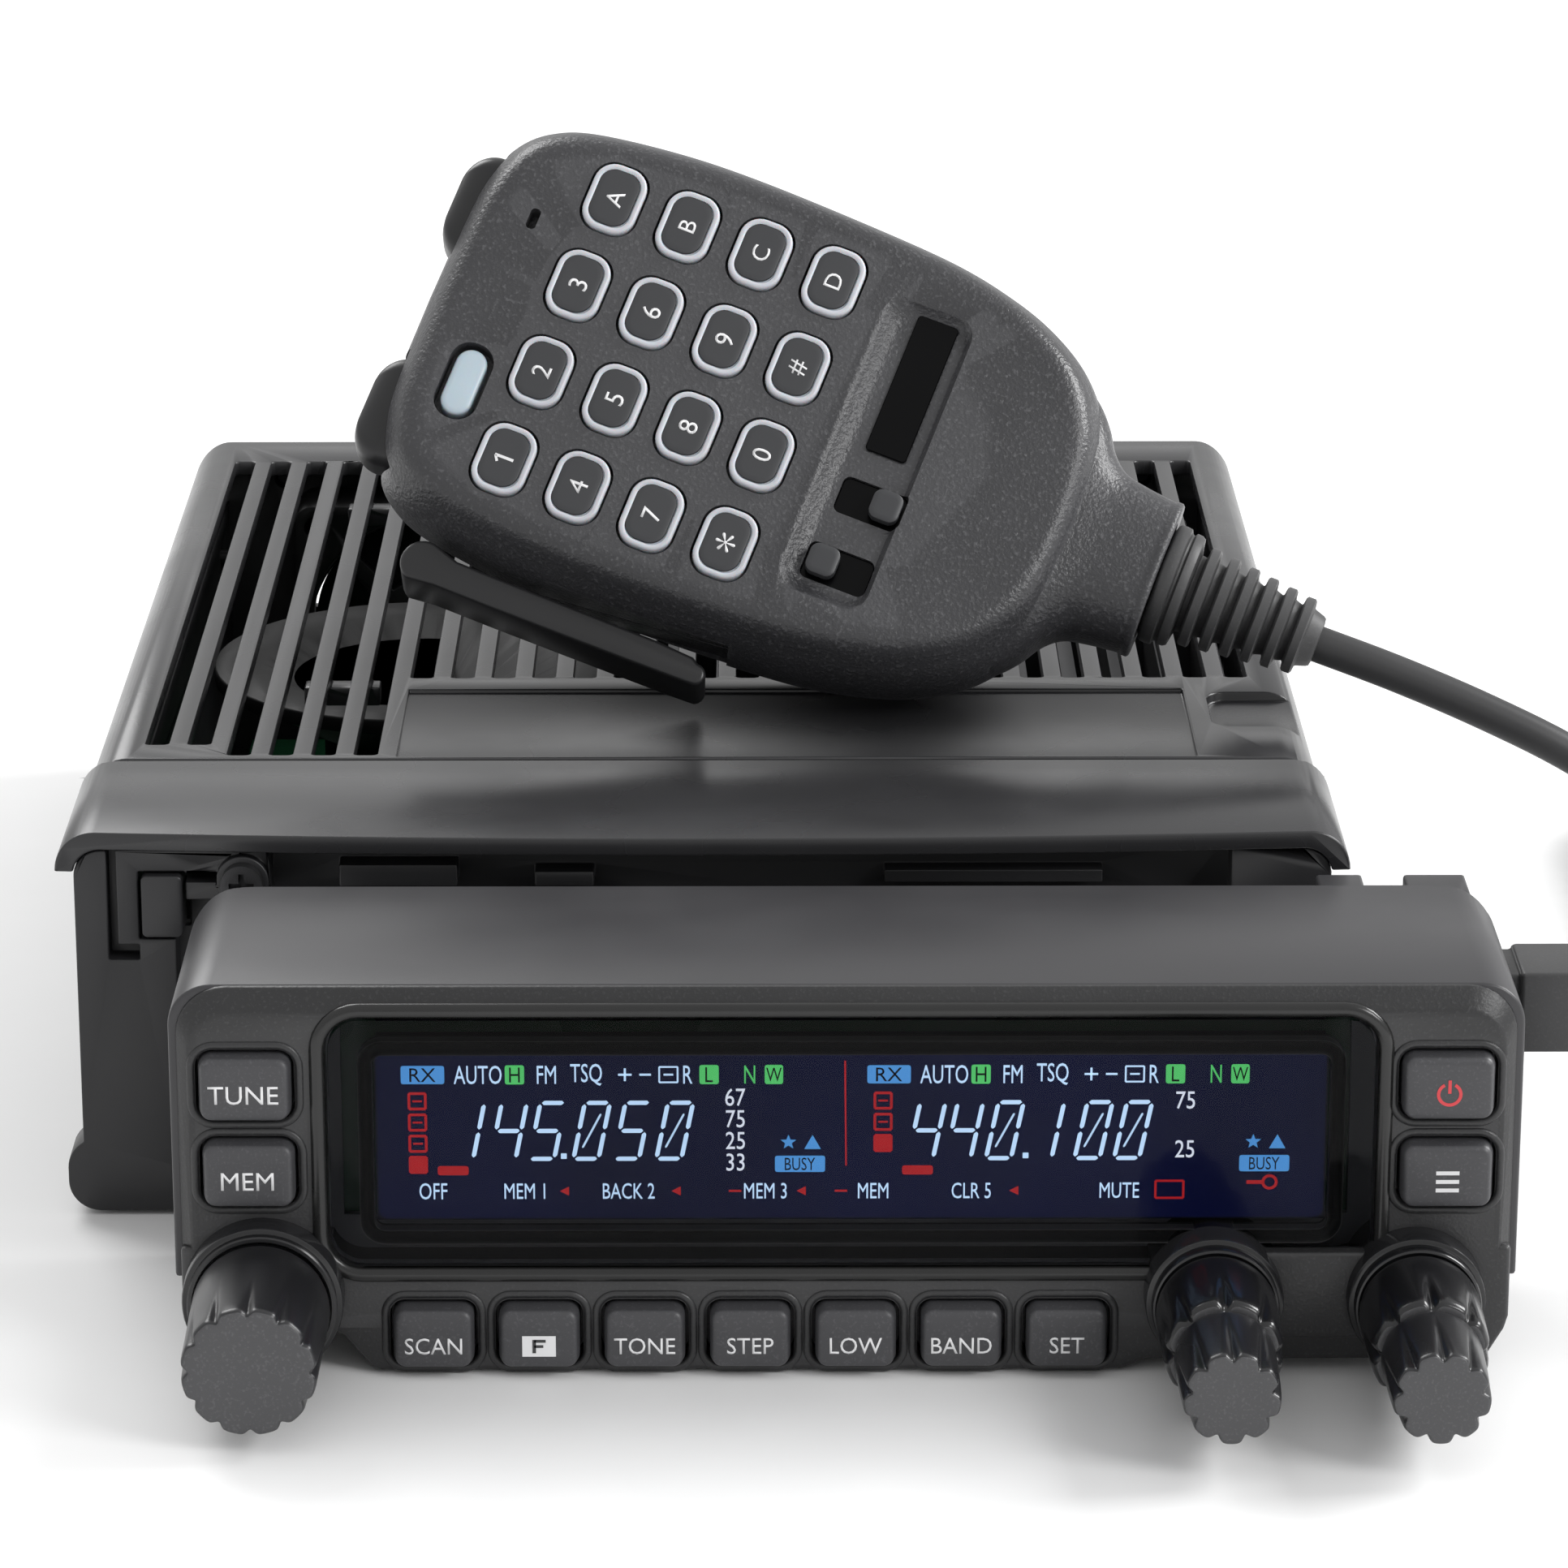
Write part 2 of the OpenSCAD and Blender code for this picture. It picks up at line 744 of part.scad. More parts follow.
module lever_pocket() {
    box([-23, -31, -15.8], [18, -24.2, -5.6]);
}

module neck(r, x0, x1) {
    intersection() {
        translate([x0, 0, mic_axis_n])
            rotate([0, 90, 0])
                cylinder(h = x1 - x0, r = r);
        box([x0, -12, mic_axis_n - 0.78 * r], [x1, 12, mic_axis_n + 0.78 * r]);
    }
}

module end_holes() {
    for (y = [12.4, -14.6])
        box([-34, y - 7.2, -12.4], [-20, y + 7.2, -4.2]);
}

module mic_front_shell() {
    color([0.2, 0.2, 0.21])
    on_mic()
    difference() {
        union() {
            loft([mic_level(-11.8, 0), mic_level(-8, 0), mic_level(-4.2, 0.9),
                mic_level(-1.4, 2.6), mic_level(0, 5.4)]);
            intersection() {
                neck(9.3, 44, 60.9);
                box([44, -12, -11.8], [62, 12, 0]);
            }
        }
        loft([mic_level(-12.5, 2.4), mic_level(-4.6, 3), mic_level(-2, 6.5)]);
        neck(6.6, 42, 61.5);
        for (i = [0:3], j = [0:3])
            mic_block((i - 1.5) * key_pitch_a, (j - 1.5) * key_pitch_w, 7, 9, 2, -3, 1);
        mic_block(-21.6, -10, 5.2, 9.6, 2.3, -3, 1);
        mic_block(26.8, 8.6, 5, 18, 0.6, -0.5, 1);
        mic_block(27.4, -6.1, 8, 4.4, 0.6, -1.2, 1);
        mic_block(27.4, -6.1, 6.9, 2, 0.3, -3, 1);
        mic_block(26.6, -14.8, 8, 4.4, 0.6, -1.2, 1);
        mic_block(26.6, -14.8, 6.9, 2, 0.3, -3, 1);
        mic_block(-21.6, 11.4, 1.2, 2.6, 0.5, -3, 1);
        lever_pocket();
        end_holes();
    }
}

module mic_back_shell() {
    color([0.18, 0.18, 0.19])
    on_mic()
    difference() {
        union() {
            loft([mic_level(-29.6, 17), mic_level(-27.8, 11.5), mic_level(-24, 6.8),
                mic_level(-18, 2.4), mic_level(-12, 0.2)]);
            intersection() {
                neck(9.3, 44, 60.9);
                box([44, -12, -20], [62, 12, -12]);
            }
        }
        loft([mic_level(-26, 12.5), mic_level(-18, 5), mic_level(-11.9, 2.6)]);
        neck(6.6, 42, 61.5);
        lever_pocket();
        end_holes();
        translate([2, 0, -30])
            cylinder(h = 8, r = 1.35);
        for (x = [-14, 30])
            translate([x, 0, -31])
                cylinder(h = 8, r = 2.6);
    }
}

module mic_keypad() {
    color([0.6, 0.62, 0.64])
    on_mic() {
        mic_block(0, 0, 37, 43, 2, -4.4, -3.2);
        for (i = [0:3], j = [0:3])
            mic_block((i - 1.5) * key_pitch_a, (j - 1.5) * key_pitch_w, 6.4, 8.4, 1.8, -3.3, 0.5);
    }
}

module mic_board() {
    on_mic() {
        color([0.05, 0.25, 0.12])
            mic_block(8, 0, 60, 38, 1.5, -15, -13.5);
        color([0.55, 0.55, 0.5])
            translate([-8, 17, -13.6])
                cylinder(h = 5, r = 1.6);
        color([0.05, 0.25, 0.12])
            mic_block(0, 0, 36, 40, 1.5, -6.2, -4.7);
    }
}

module mic_boot() {
    color([0.14, 0.14, 0.14])
    on_mic()
        translate([0, 0, mic_axis_n])
            rotate([0, 90, 0])
                difference() {
                    union() {
                        translate([0, 0, 50])
                            cylinder(h = 11.5, r = 5);
                        translate([0, 0, 61.2])
                            cylinder(h = 3.6, r1 = 7.2, r2 = 6.6);
                        translate([0, 0, 64.7])
                            cylinder(h = boot_end - 64.7, r1 = 4.6, r2 = 3.2);
                        for (k = [0:5])
                            translate([0, 0, 65.6 + 2.45 * k])
                                cylinder(h = 1.5, r = 6 - 0.28 * k);
                    }
                    translate([0, 0, 49])
                        cylinder(h = 40, r = cord_d / 2 + 0.02);
                }
}

module lamp_lens() {
    color([0.75, 0.82, 0.85])
    on_mic()
        mic_block(-21.6, -10, 4.6, 9, 2.1, -3.2, 0.3);
}

module hanger_stud() {
    color([0.6, 0.6, 0.6])
    on_mic() {
        translate([2, 0, -30])
            cylinder(h = 5, r = 1.3);
        translate([2, 0, -32.6])
            cylinder(h = 2.95, r = 3);
        translate([2, 0, -34.6])
            cylinder(h = 2, r = 6);
    }
}

module mic_screws() {
    color([0.12, 0.12, 0.12])
    on_mic()
        for (x = [-14, 30])
            translate([x, 0, -29.2])
                rotate([90, 0, 0])
                    screw(2.3, 1, 11);
}

module talk_lever() {
    color([0.09, 0.09, 0.09])
    on_mic() {
        box([-18, -32.55, -15.2], [15.6, -29.6, -6.2]);
        translate([-18.6, -30.4, -15.2])
            cylinder(h = 9, r = 2.8);
        translate([15.4, -31.15, -15.2])
            cylinder(h = 9, r = 1.4);
    }
}

module end_button(y) {
    color([0.1, 0.1, 0.1])
    on_mic() {
        box([-32.2, y - 6.8, -12], [-25.5, y + 6.8, -4.6]);
        box([-25.6, y - 3, -10], [-22, y + 3, -7]);
    }
}

module slide_switch(x, y) {
    color([0.08, 0.08, 0.08])
    on_mic() {
        mic_block(x, y, 3.6, 3.7, 0.4, -0.9, 0.4);
        mic_block(x, y, 1.4, 1.4, 0.3, -3.2, -0.8);
    }
}

// ---------- cord ----------

module cord_lead() {
    color([0.12, 0.12, 0.12])
        tube(lead_route, cord_d / 2, 10);
}

module curly_cord() {
    color([0.12, 0.12, 0.12]) {
        translate([125, -23.6, curl_d / 2])
            rotate([-90, 0, 0])
                cylinder(h = 63.6, r = curl_d / 2);
        translate([142, 40, curl_d / 2])
            rotate_extrude(angle = 180)
                translate([17, 0])
                    circle(curl_d / 2);
        translate([159, -67, curl_d / 2])
            rotate([-90, 0, 0])
                cylinder(h = 107, r = curl_d / 2);
    }
}

module plug_lead() {
    color([0.12, 0.12, 0.12])
        tube(plug_route, cord_d / 2, 10);
}

module cord_plug() {
    color([0.12, 0.12, 0.12])
    on_head() {
        box([56, 20.6, 29.2], [69.9, 29.8, 35.4]);
        box([69.8, 20.8, 28.2], [72, 29.6, 36.4]);
        box([71.9, 20.2, 27.8], [88, 30.2, 36.8]);
        translate([87.9, 25.2, 32.3])
            rotate([0, 90, 0])
                cylinder(h = 9.9, r1 = 4, r2 = 2.6);
    }
}

main_chassis();
top_cover();
front_frame();
release_latch();
rear_panel();
fan_frame();
fan_rotor();
antenna_socket();
dc_inlet();
jack_sockets();
main_board();
heatsink();
speaker();
body_connector();
cabinet_screws();
head_shell();
head_bezel();
display_window();
display_module();
head_board();
key_membrane();
control_bodies();
mic_jack();
head_screws();
key_left_upper();
key_left_lower();
key_power();
key_menu();
key_row(1);  // key_row_1
key_row(2);  // key_row_2
key_row(3);  // key_row_3
key_row(4);  // key_row_4
key_row(5);  // key_row_5
key_row(6);  // key_row_6
key_row(7);  // key_row_7
main_dial();
dial_shaft();
volume_knob(0);  // volume_knob_left
volume_knob(1);  // volume_knob_right
volume_shaft(0);  // volume_shaft_left
volume_shaft(1);  // volume_shaft_right
squelch_ring(0);  // squelch_ring_left
squelch_ring(1);  // squelch_ring_right
mic_front_shell();
mic_back_shell();
mic_keypad();
mic_board();
mic_boot();
lamp_lens();
hanger_stud();
mic_screws();
talk_lever();
end_button(12.4);  // up_button
end_button(-14.6);  // down_button
slide_switch(29.2, -6.1);  // lock_switch
slide_switch(24.8, -14.8);  // mode_switch
cord_lead();
curly_cord();
plug_lead();
cord_plug();
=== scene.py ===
# %% [markdown]
# # A mobile transceiver, built on its measured frame
#
# The radio is three things that travel together: a slotted steel cabinet, a control head that
# comes off it, and a keypad hand microphone on a curly cord. The measured solids already sit in
# their places, so every lesson below adds looks to them: finer surfaces, legends and finishes.
# All lengths in this file are metres once they are in the scene. Tables of sizes are written in
# millimetres, because that is how such parts are drawn, and are scaled where they are used.

# %% Load the measured frame
import json
from math import cos, pi, radians, sin

import bmesh
import bpy
import numpy as np
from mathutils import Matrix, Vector


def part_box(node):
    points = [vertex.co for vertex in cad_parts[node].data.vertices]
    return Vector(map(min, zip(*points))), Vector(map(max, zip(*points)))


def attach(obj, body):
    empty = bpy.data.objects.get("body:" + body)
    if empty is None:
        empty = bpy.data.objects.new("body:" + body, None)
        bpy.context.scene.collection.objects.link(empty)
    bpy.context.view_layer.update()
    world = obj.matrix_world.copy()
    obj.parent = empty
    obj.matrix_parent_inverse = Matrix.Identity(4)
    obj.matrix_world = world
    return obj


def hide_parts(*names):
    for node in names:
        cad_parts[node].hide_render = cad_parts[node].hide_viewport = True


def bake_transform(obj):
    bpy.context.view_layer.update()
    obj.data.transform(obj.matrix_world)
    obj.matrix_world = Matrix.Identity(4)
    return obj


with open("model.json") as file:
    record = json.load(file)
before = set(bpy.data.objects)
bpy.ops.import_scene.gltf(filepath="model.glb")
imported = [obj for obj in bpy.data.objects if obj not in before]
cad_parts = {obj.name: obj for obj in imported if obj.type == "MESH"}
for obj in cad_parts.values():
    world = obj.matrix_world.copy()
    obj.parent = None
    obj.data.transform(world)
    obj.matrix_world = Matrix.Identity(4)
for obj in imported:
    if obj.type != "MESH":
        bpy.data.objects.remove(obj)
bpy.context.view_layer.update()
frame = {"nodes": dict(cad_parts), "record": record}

MM = 0.001
record = frame["record"]

# %% [markdown]
# Two of the assemblies have axes of their own. The head faces straight forward, so its parts are
# drawn from the middle of its front plane. The microphone leans and rolls, so its parts are drawn
# flat, x along it to the cord, y across it and z out of its face, and are then carried to where
# the pivot of the talk lever and the slide switch say that it is.

# %% Where the head and the microphone are
head_low, head_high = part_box("head_shell")
HEAD = np.array([(head_low[0] + head_high[0]) / 2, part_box("display_window")[0][1] - 0.2 * MM, 0.0])

joints = {j["name"]: j for j in record["behaviour"]["joints"]}
along = -np.array(joints["lock_slide"]["axis"])
out = np.array(joints["talk_press"]["axis"])
MIC_TURN = np.column_stack([along, np.cross(out, along), out])
MIC = np.array(joints["talk_press"]["pos_m"]) - MIC_TURN @ (np.array([-18.6, -30.4, -10.7]) * MM)


def on_head(points):
    """Millimetres on the head: x to the right, y back from the bezel's face, z up."""
    return np.asarray(points, float) * MM + HEAD


def on_mic(points):
    """Millimetres on the microphone: turned by its three axes, then moved to its middle."""
    return np.asarray(points, float) * MM @ MIC_TURN.T + MIC


print("head at", HEAD.round(4), "microphone at", MIC.round(4))

# %% [markdown]
# The camera looks down at the radio by 18 degrees from a little over half a metre in front, with a
# long lens, which is how small products are usually taken.

# %% The camera
camera = bpy.data.objects.new("camera", bpy.data.cameras.new("camera"))
bpy.context.collection.objects.link(camera)
camera.location = (0.0063, -0.7053, 0.2528)
camera.rotation_euler = (radians(90 - 18), 0, -radians(0.24))
camera.data.lens = 137.9
camera.data.sensor_width = 36
camera.data.clip_start = 0.01
bpy.context.scene.camera = camera
print("camera at", tuple(camera.location))

# %% [markdown]
# A mesh needs points and faces. Nearly every part here is a stack of rings: the same number of
# points round each level, joined by quads and closed by a face at either end. One helper makes
# such a stack into an object, another makes rounded rectangles to stack.


# %% Stacks of rings
def mesh_piece(name, points, faces, sharp=35):
    """An object at the origin from points in metres and faces, smooth except at sharp angles."""
    mesh = bpy.data.meshes.new(name)
    mesh.from_pydata(np.asarray(points, float).reshape(-1, 3), [], faces)
    mesh.shade_smooth()
    mesh.set_sharp_from_angle(angle=radians(sharp))
    piece = bpy.data.objects.new(name, mesh)
    bpy.context.collection.objects.link(piece)
    return piece


def outward(piece):
    """Merge doubled points and turn every face of a closed piece outwards."""
    work = bmesh.new()
    work.from_mesh(piece.data)
    bmesh.ops.remove_doubles(work, verts=work.verts, dist=1e-7)
    bmesh.ops.recalc_face_normals(work, faces=work.faces)
    work.to_mesh(piece.data)
    work.free()
    return piece


def quads(levels, count, wrap=False):
    """Quads joining each ring of count points to the next; wrap also joins the last to the first."""
    i = np.arange(levels if wrap else levels - 1)[:, None] * count
    k = np.arange(count)[None, :]
    j = (i + count) % (levels * count)
    return np.stack([i + k, i + (k + 1) % count, j + (k + 1) % count, j + k], -1).reshape(-1, 4)


def stack(name, rings, sharp=35, caps=True):
    """A closed solid through rings, an array of levels x points x 3 in metres."""
    levels, count = rings.shape[:2]
    faces = quads(levels, count).tolist()
    if caps:
        faces += [list(range(count))[::-1], list(range((levels - 1) * count, levels * count))]
    return outward(mesh_piece(name, rings, faces, sharp))


def rounded(width, height, radius, steps=8):
    """Points round a rectangle whose corners are quarter circles, centred, as count x 2."""
    turn = np.linspace(0, pi / 2, steps + 1)
    corner = np.stack([np.cos(turn), np.sin(turn)], -1) * radius
    x, y = width / 2 - radius, height / 2 - radius
    a, b = corner.T
    spin = lambda p, q: np.stack([p * a - q * b, q * a + p * b], -1)
    corners = ((1, 0, x, y), (0, 1, -x, y), (-1, 0, -x, -y), (0, -1, x, -y))
    return np.concatenate([spin(p, q) + [cx, cy] for p, q, cx, cy in corners])


print("a rounded rectangle has", len(rounded(10, 8, 2)), "points")

# %% [markdown]
# ## The cord
#
# The microphone's cord is a coiled lead. Straight pieces leave the microphone's boot and the plug,
# and the middle is wound into a tight helix. It is one wire, so it is made as one tube: first a
# smooth line through the points of its route, then the helix round the line that its coils lie
# along, then a circle carried down the whole path.

# %% Smooth lines through points
LEAD_ROUTE = np.array([[70.5, -37.4, 53], [80, -39.3, 49.8], [90, -41.3, 45.9], [100, -43, 41.2],
    [109, -44, 35.4], [117, -44, 28.3], [123, -42.4, 20.8], [126.6, -39, 14.3],
    [127.2, -34.4, 9.6], [126, -29.3, 7.2], [125, -24, 6.5]]) * MM
PLUG_ROUTE = np.array([[113.25, -101, 32.3], [120, -101, 31.6], [127, -101, 29.4], [134, -100, 25.4],
    [140, -98, 20], [146, -95, 14.2], [151.5, -90, 9.8], [155.5, -84, 7.6],
    [158, -77.5, 6.7], [159, -71.5, 6.5], [159, -67, 6.5]]) * MM


def smooth_line(points, step):
    """A Catmull-Rom curve: each span is a cubic whose end slopes join the points on either side."""
    p = np.asarray(points, float)
    p = np.concatenate([[2 * p[0] - p[1]], p, [2 * p[-1] - p[-2]]])
    t = np.linspace(0, 1, 20, endpoint=False)[None, :, None]
    a, b, c, d = (p[i:len(p) - 3 + i, None] for i in range(4))
    span = 0.5 * (2 * b + (c - a) * t + (2 * a - 5 * b + 4 * c - d) * t**2 + (3 * b - a - 3 * c + d) * t**3)
    return evenly(np.concatenate([span.reshape(-1, p.shape[1]), p[-2:-1]]), step)


def evenly(line, step):
    """The same line with its points a step apart, measured along it."""
    far = np.concatenate([[0], np.cumsum(np.linalg.norm(np.diff(line, axis=0), axis=1))])
    at = np.linspace(0, far[-1], max(3, int(round(far[-1] / step)) + 1))
    return np.stack([np.interp(at, far, line[:, i]) for i in range(line.shape[1])], -1)


print("points of the leads", len(LEAD_ROUTE), len(PLUG_ROUTE))

# %% The curly part
CORD = 4.3 * MM  # diameter of the jacket
COIL = 4.35 * MM  # from the coil's middle line to the wire's
PITCH = 4.62 * MM  # from one turn to the next
EASE = 16 * MM  # length over which the coil opens and closes
LEAD_STEP, COIL_STEP = 2 * MM, 1.1 * MM  # between points along the wire
TUCK = 2.5 * MM  # how far each end goes into its boot
coil_low, coil_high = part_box("curly_cord")
bed = (coil_high[2] - coil_low[2]) / 2
left, right = coil_low[0] + bed, coil_high[0] - bed
bend = (right - left) / 2
turn = np.linspace(pi, 0, 60)
far_side = coil_high[1] - bed - bend
middle = np.stack([left + bend + bend * np.cos(turn), far_side + bend * np.sin(turn), 0 * turn + bed], -1)
axis_line = evenly(np.concatenate([[LEAD_ROUTE[-1]], middle, [PLUG_ROUTE[-1]]]), 0.0004)


def wound(line, radius, pitch, ramp):
    """A helix round a flat line: out sideways by radius x cos(turn) and up by radius x sin(turn).
    Both the radius and the rate of turning ease in from nothing over a ramp at either end."""
    far = np.arange(len(line)) * np.linalg.norm(line[1] - line[0])
    ease = lambda u: np.clip(u, 0, 1) ** 2 * (3 - 2 * np.clip(u, 0, 1))
    grow = radius * ease(1.6 * far / ramp) * ease(1.6 * (far[-1] - far) / ramp)
    angle = np.cumsum(ease(far / ramp) * ease((far[-1] - far) / ramp))
    turns = round(float(angle[-1] * (far[1] - far[0]) / pitch))
    angle *= 2 * pi * turns / angle[-1]
    ahead = np.gradient(line, axis=0)
    ahead /= np.linalg.norm(ahead, axis=1)[:, None]
    aside = np.stack([ahead[:, 1], -ahead[:, 0], 0 * far], -1)
    up = np.array([0, 0, 1.0])
    return line + grow[:, None] * (np.cos(angle)[:, None] * aside + np.sin(angle)[:, None] * up), turns


def tucked(route, deep):
    """A point a little way back from the first point of a route, inside the boot that holds it."""
    back = route[0] - route[1]
    return route[0] + deep * back / np.linalg.norm(back)


helix, turns = wound(axis_line, COIL, PITCH, EASE)
mic_lead, plug_lead = smooth_line(LEAD_ROUTE, LEAD_STEP), smooth_line(PLUG_ROUTE[::-1], LEAD_STEP)
wire = np.concatenate([[tucked(LEAD_ROUTE, TUCK)], mic_lead[:-1], evenly(helix, COIL_STEP),
    plug_lead[1:], [tucked(PLUG_ROUTE, TUCK)]])


# %% A circle carried along the wire
def carried(line, radius, sides):
    """Rings square to a line. The frame is turned as little as possible from point to point: each
    side vector is the last one with its part along the new direction taken away."""
    ahead = np.gradient(line, axis=0)
    ahead /= np.linalg.norm(ahead, axis=1)[:, None]
    side = np.empty_like(line)
    side[0] = np.cross(ahead[0], [0, 0, 1])
    for i in range(1, len(line)):
        side[i] = side[i - 1] - ahead[i] * np.dot(side[i - 1], ahead[i])
        side[i] /= np.linalg.norm(side[i])
    side[0] /= np.linalg.norm(side[0])
    top = np.cross(side, ahead)
    angle = np.linspace(0, 2 * pi, sides, endpoint=False)[None, :, None]
    radius = np.broadcast_to(radius, len(line))[:, None, None]
    return line[:, None] + radius * (np.cos(angle) * side[:, None] + np.sin(angle) * top[:, None])


cord = stack("microphone_cord", carried(wire, CORD / 2, 14))
print("cord faces", len(cord.data.polygons))

# %% [markdown]
# ## Finishes
#
# Almost everything here is a dark polymer or a satin paint, and what tells them apart is their
# grain and how they take light. So one helper builds a shader from four measured things: the
# base colour, the roughness, the size and depth of the grain, and how much the colour and the
# roughness wander over the part. Convex edges, which the mesh's own pointiness finds, can also be
# painted lighter: a painted highlight along the edges, standing in for the light that they catch.


# %% One helper for every opaque finish
def finish(name, colour, roughness, grain=0.3, depth=0.01, mottle=0.08, speck=0.0, edge_highlight=0.0, **more):
    """Colour x (1 + mottle x slow noise) + speck x peaks of the grain + painted highlight on convex edges;
    the grain, in millimetres, also bumps the surface by its depth, and slow noise shifts the roughness."""
    material = bpy.data.materials.new(name)
    material.use_nodes = True
    tree = material.node_tree
    shader = tree.nodes["Principled BSDF"]
    shader.inputs["Base Color"].default_value = (*colour, 1)
    for key, value in more.items():
        shader.inputs[key.replace("_", " ")].default_value = value
    coords = tree.nodes.new("ShaderNodeTexCoord")
    fine, slow = tree.nodes.new("ShaderNodeTexNoise"), tree.nodes.new("ShaderNodeTexNoise")
    for noise, size, detail in ((fine, grain, 2), (slow, 22, 3)):
        noise.inputs["Scale"].default_value = 1000 / size
        noise.inputs["Detail"].default_value = detail
        tree.links.new(coords.outputs["Object"], noise.inputs["Vector"])

    def spread(source, low, high, to_low, to_high):
        ramp = tree.nodes.new("ShaderNodeMapRange")
        for socket, value in zip(("From Min", "From Max", "To Min", "To Max"),
                (low, high, to_low, to_high)):
            ramp.inputs[socket].default_value = value
        tree.links.new(source, ramp.inputs["Value"])
        return ramp.outputs["Result"]

    def tint(below, factor, colour):
        mix = tree.nodes.new("ShaderNodeMix")
        mix.data_type = "RGBA"
        if isinstance(below, tuple):
            mix.inputs["A"].default_value = (*below, 1)
        else:
            tree.links.new(below, mix.inputs["A"])
        mix.inputs["B"].default_value = (*colour, 1)
        tree.links.new(factor, mix.inputs["Factor"])
        return mix.outputs["Result"]

    # The colour of the painted edge highlight: the base colour nearly doubled.
    highlight_colour = tuple(min(1, c * 1.9 + 0.03) for c in colour)
    shade = tint(tuple(c * (1 - mottle) for c in colour), spread(slow.outputs["Fac"], 0.35, 0.65, 0, 1),
        tuple(c * (1 + mottle) for c in colour))
    if speck:
        shade = tint(shade, spread(fine.outputs["Fac"], 0.56, 0.72, 0, speck),
            tuple(min(1, c * 4 + 0.1) for c in colour))
    # Painted highlight: convex edges, where pointiness is high, are painted lighter by the given amount.
    if edge_highlight:
        sharp = tree.nodes.new("ShaderNodeNewGeometry")
        shade = tint(shade, spread(sharp.outputs["Pointiness"], 0.52, 0.6, 0, edge_highlight), highlight_colour)
    tree.links.new(shade, shader.inputs["Base Color"])
    tree.links.new(spread(slow.outputs["Fac"], 0.3, 0.7, roughness - 0.05, roughness + 0.05),
        shader.inputs["Roughness"])
    bump = tree.nodes.new("ShaderNodeBump")
    bump.inputs["Strength"].default_value = 1
    bump.inputs["Distance"].default_value = depth * MM
    tree.links.new(fine.outputs["Fac"], bump.inputs["Height"])
    tree.links.new(bump.outputs["Normal"], shader.inputs["Normal"])
    return material


def glow(name, colour, strength, ink=0.9):
    """A lit mark: an emitting colour whose strength wanders a little, as backlit ink does."""
    material = finish(name, tuple(c * 0.4 for c in colour), 0.4, grain=0.5, depth=0.002)
    tree = material.node_tree
    shader = tree.nodes["Principled BSDF"]
    shader.inputs["Emission Strength"].default_value = strength
    mix = tree.nodes.new("ShaderNodeMix")
    mix.data_type = "RGBA"
    mix.inputs["A"].default_value = (*(c * ink for c in colour), 1)
    mix.inputs["B"].default_value = (*colour, 1)
    slow = [n for n in tree.nodes if n.type == "TEX_NOISE"][1]
    tree.links.new(slow.outputs["Fac"], mix.inputs["Factor"])
    tree.links.new(mix.outputs["Result"], shader.inputs["Emission Color"])
    return material


print("helpers ready")
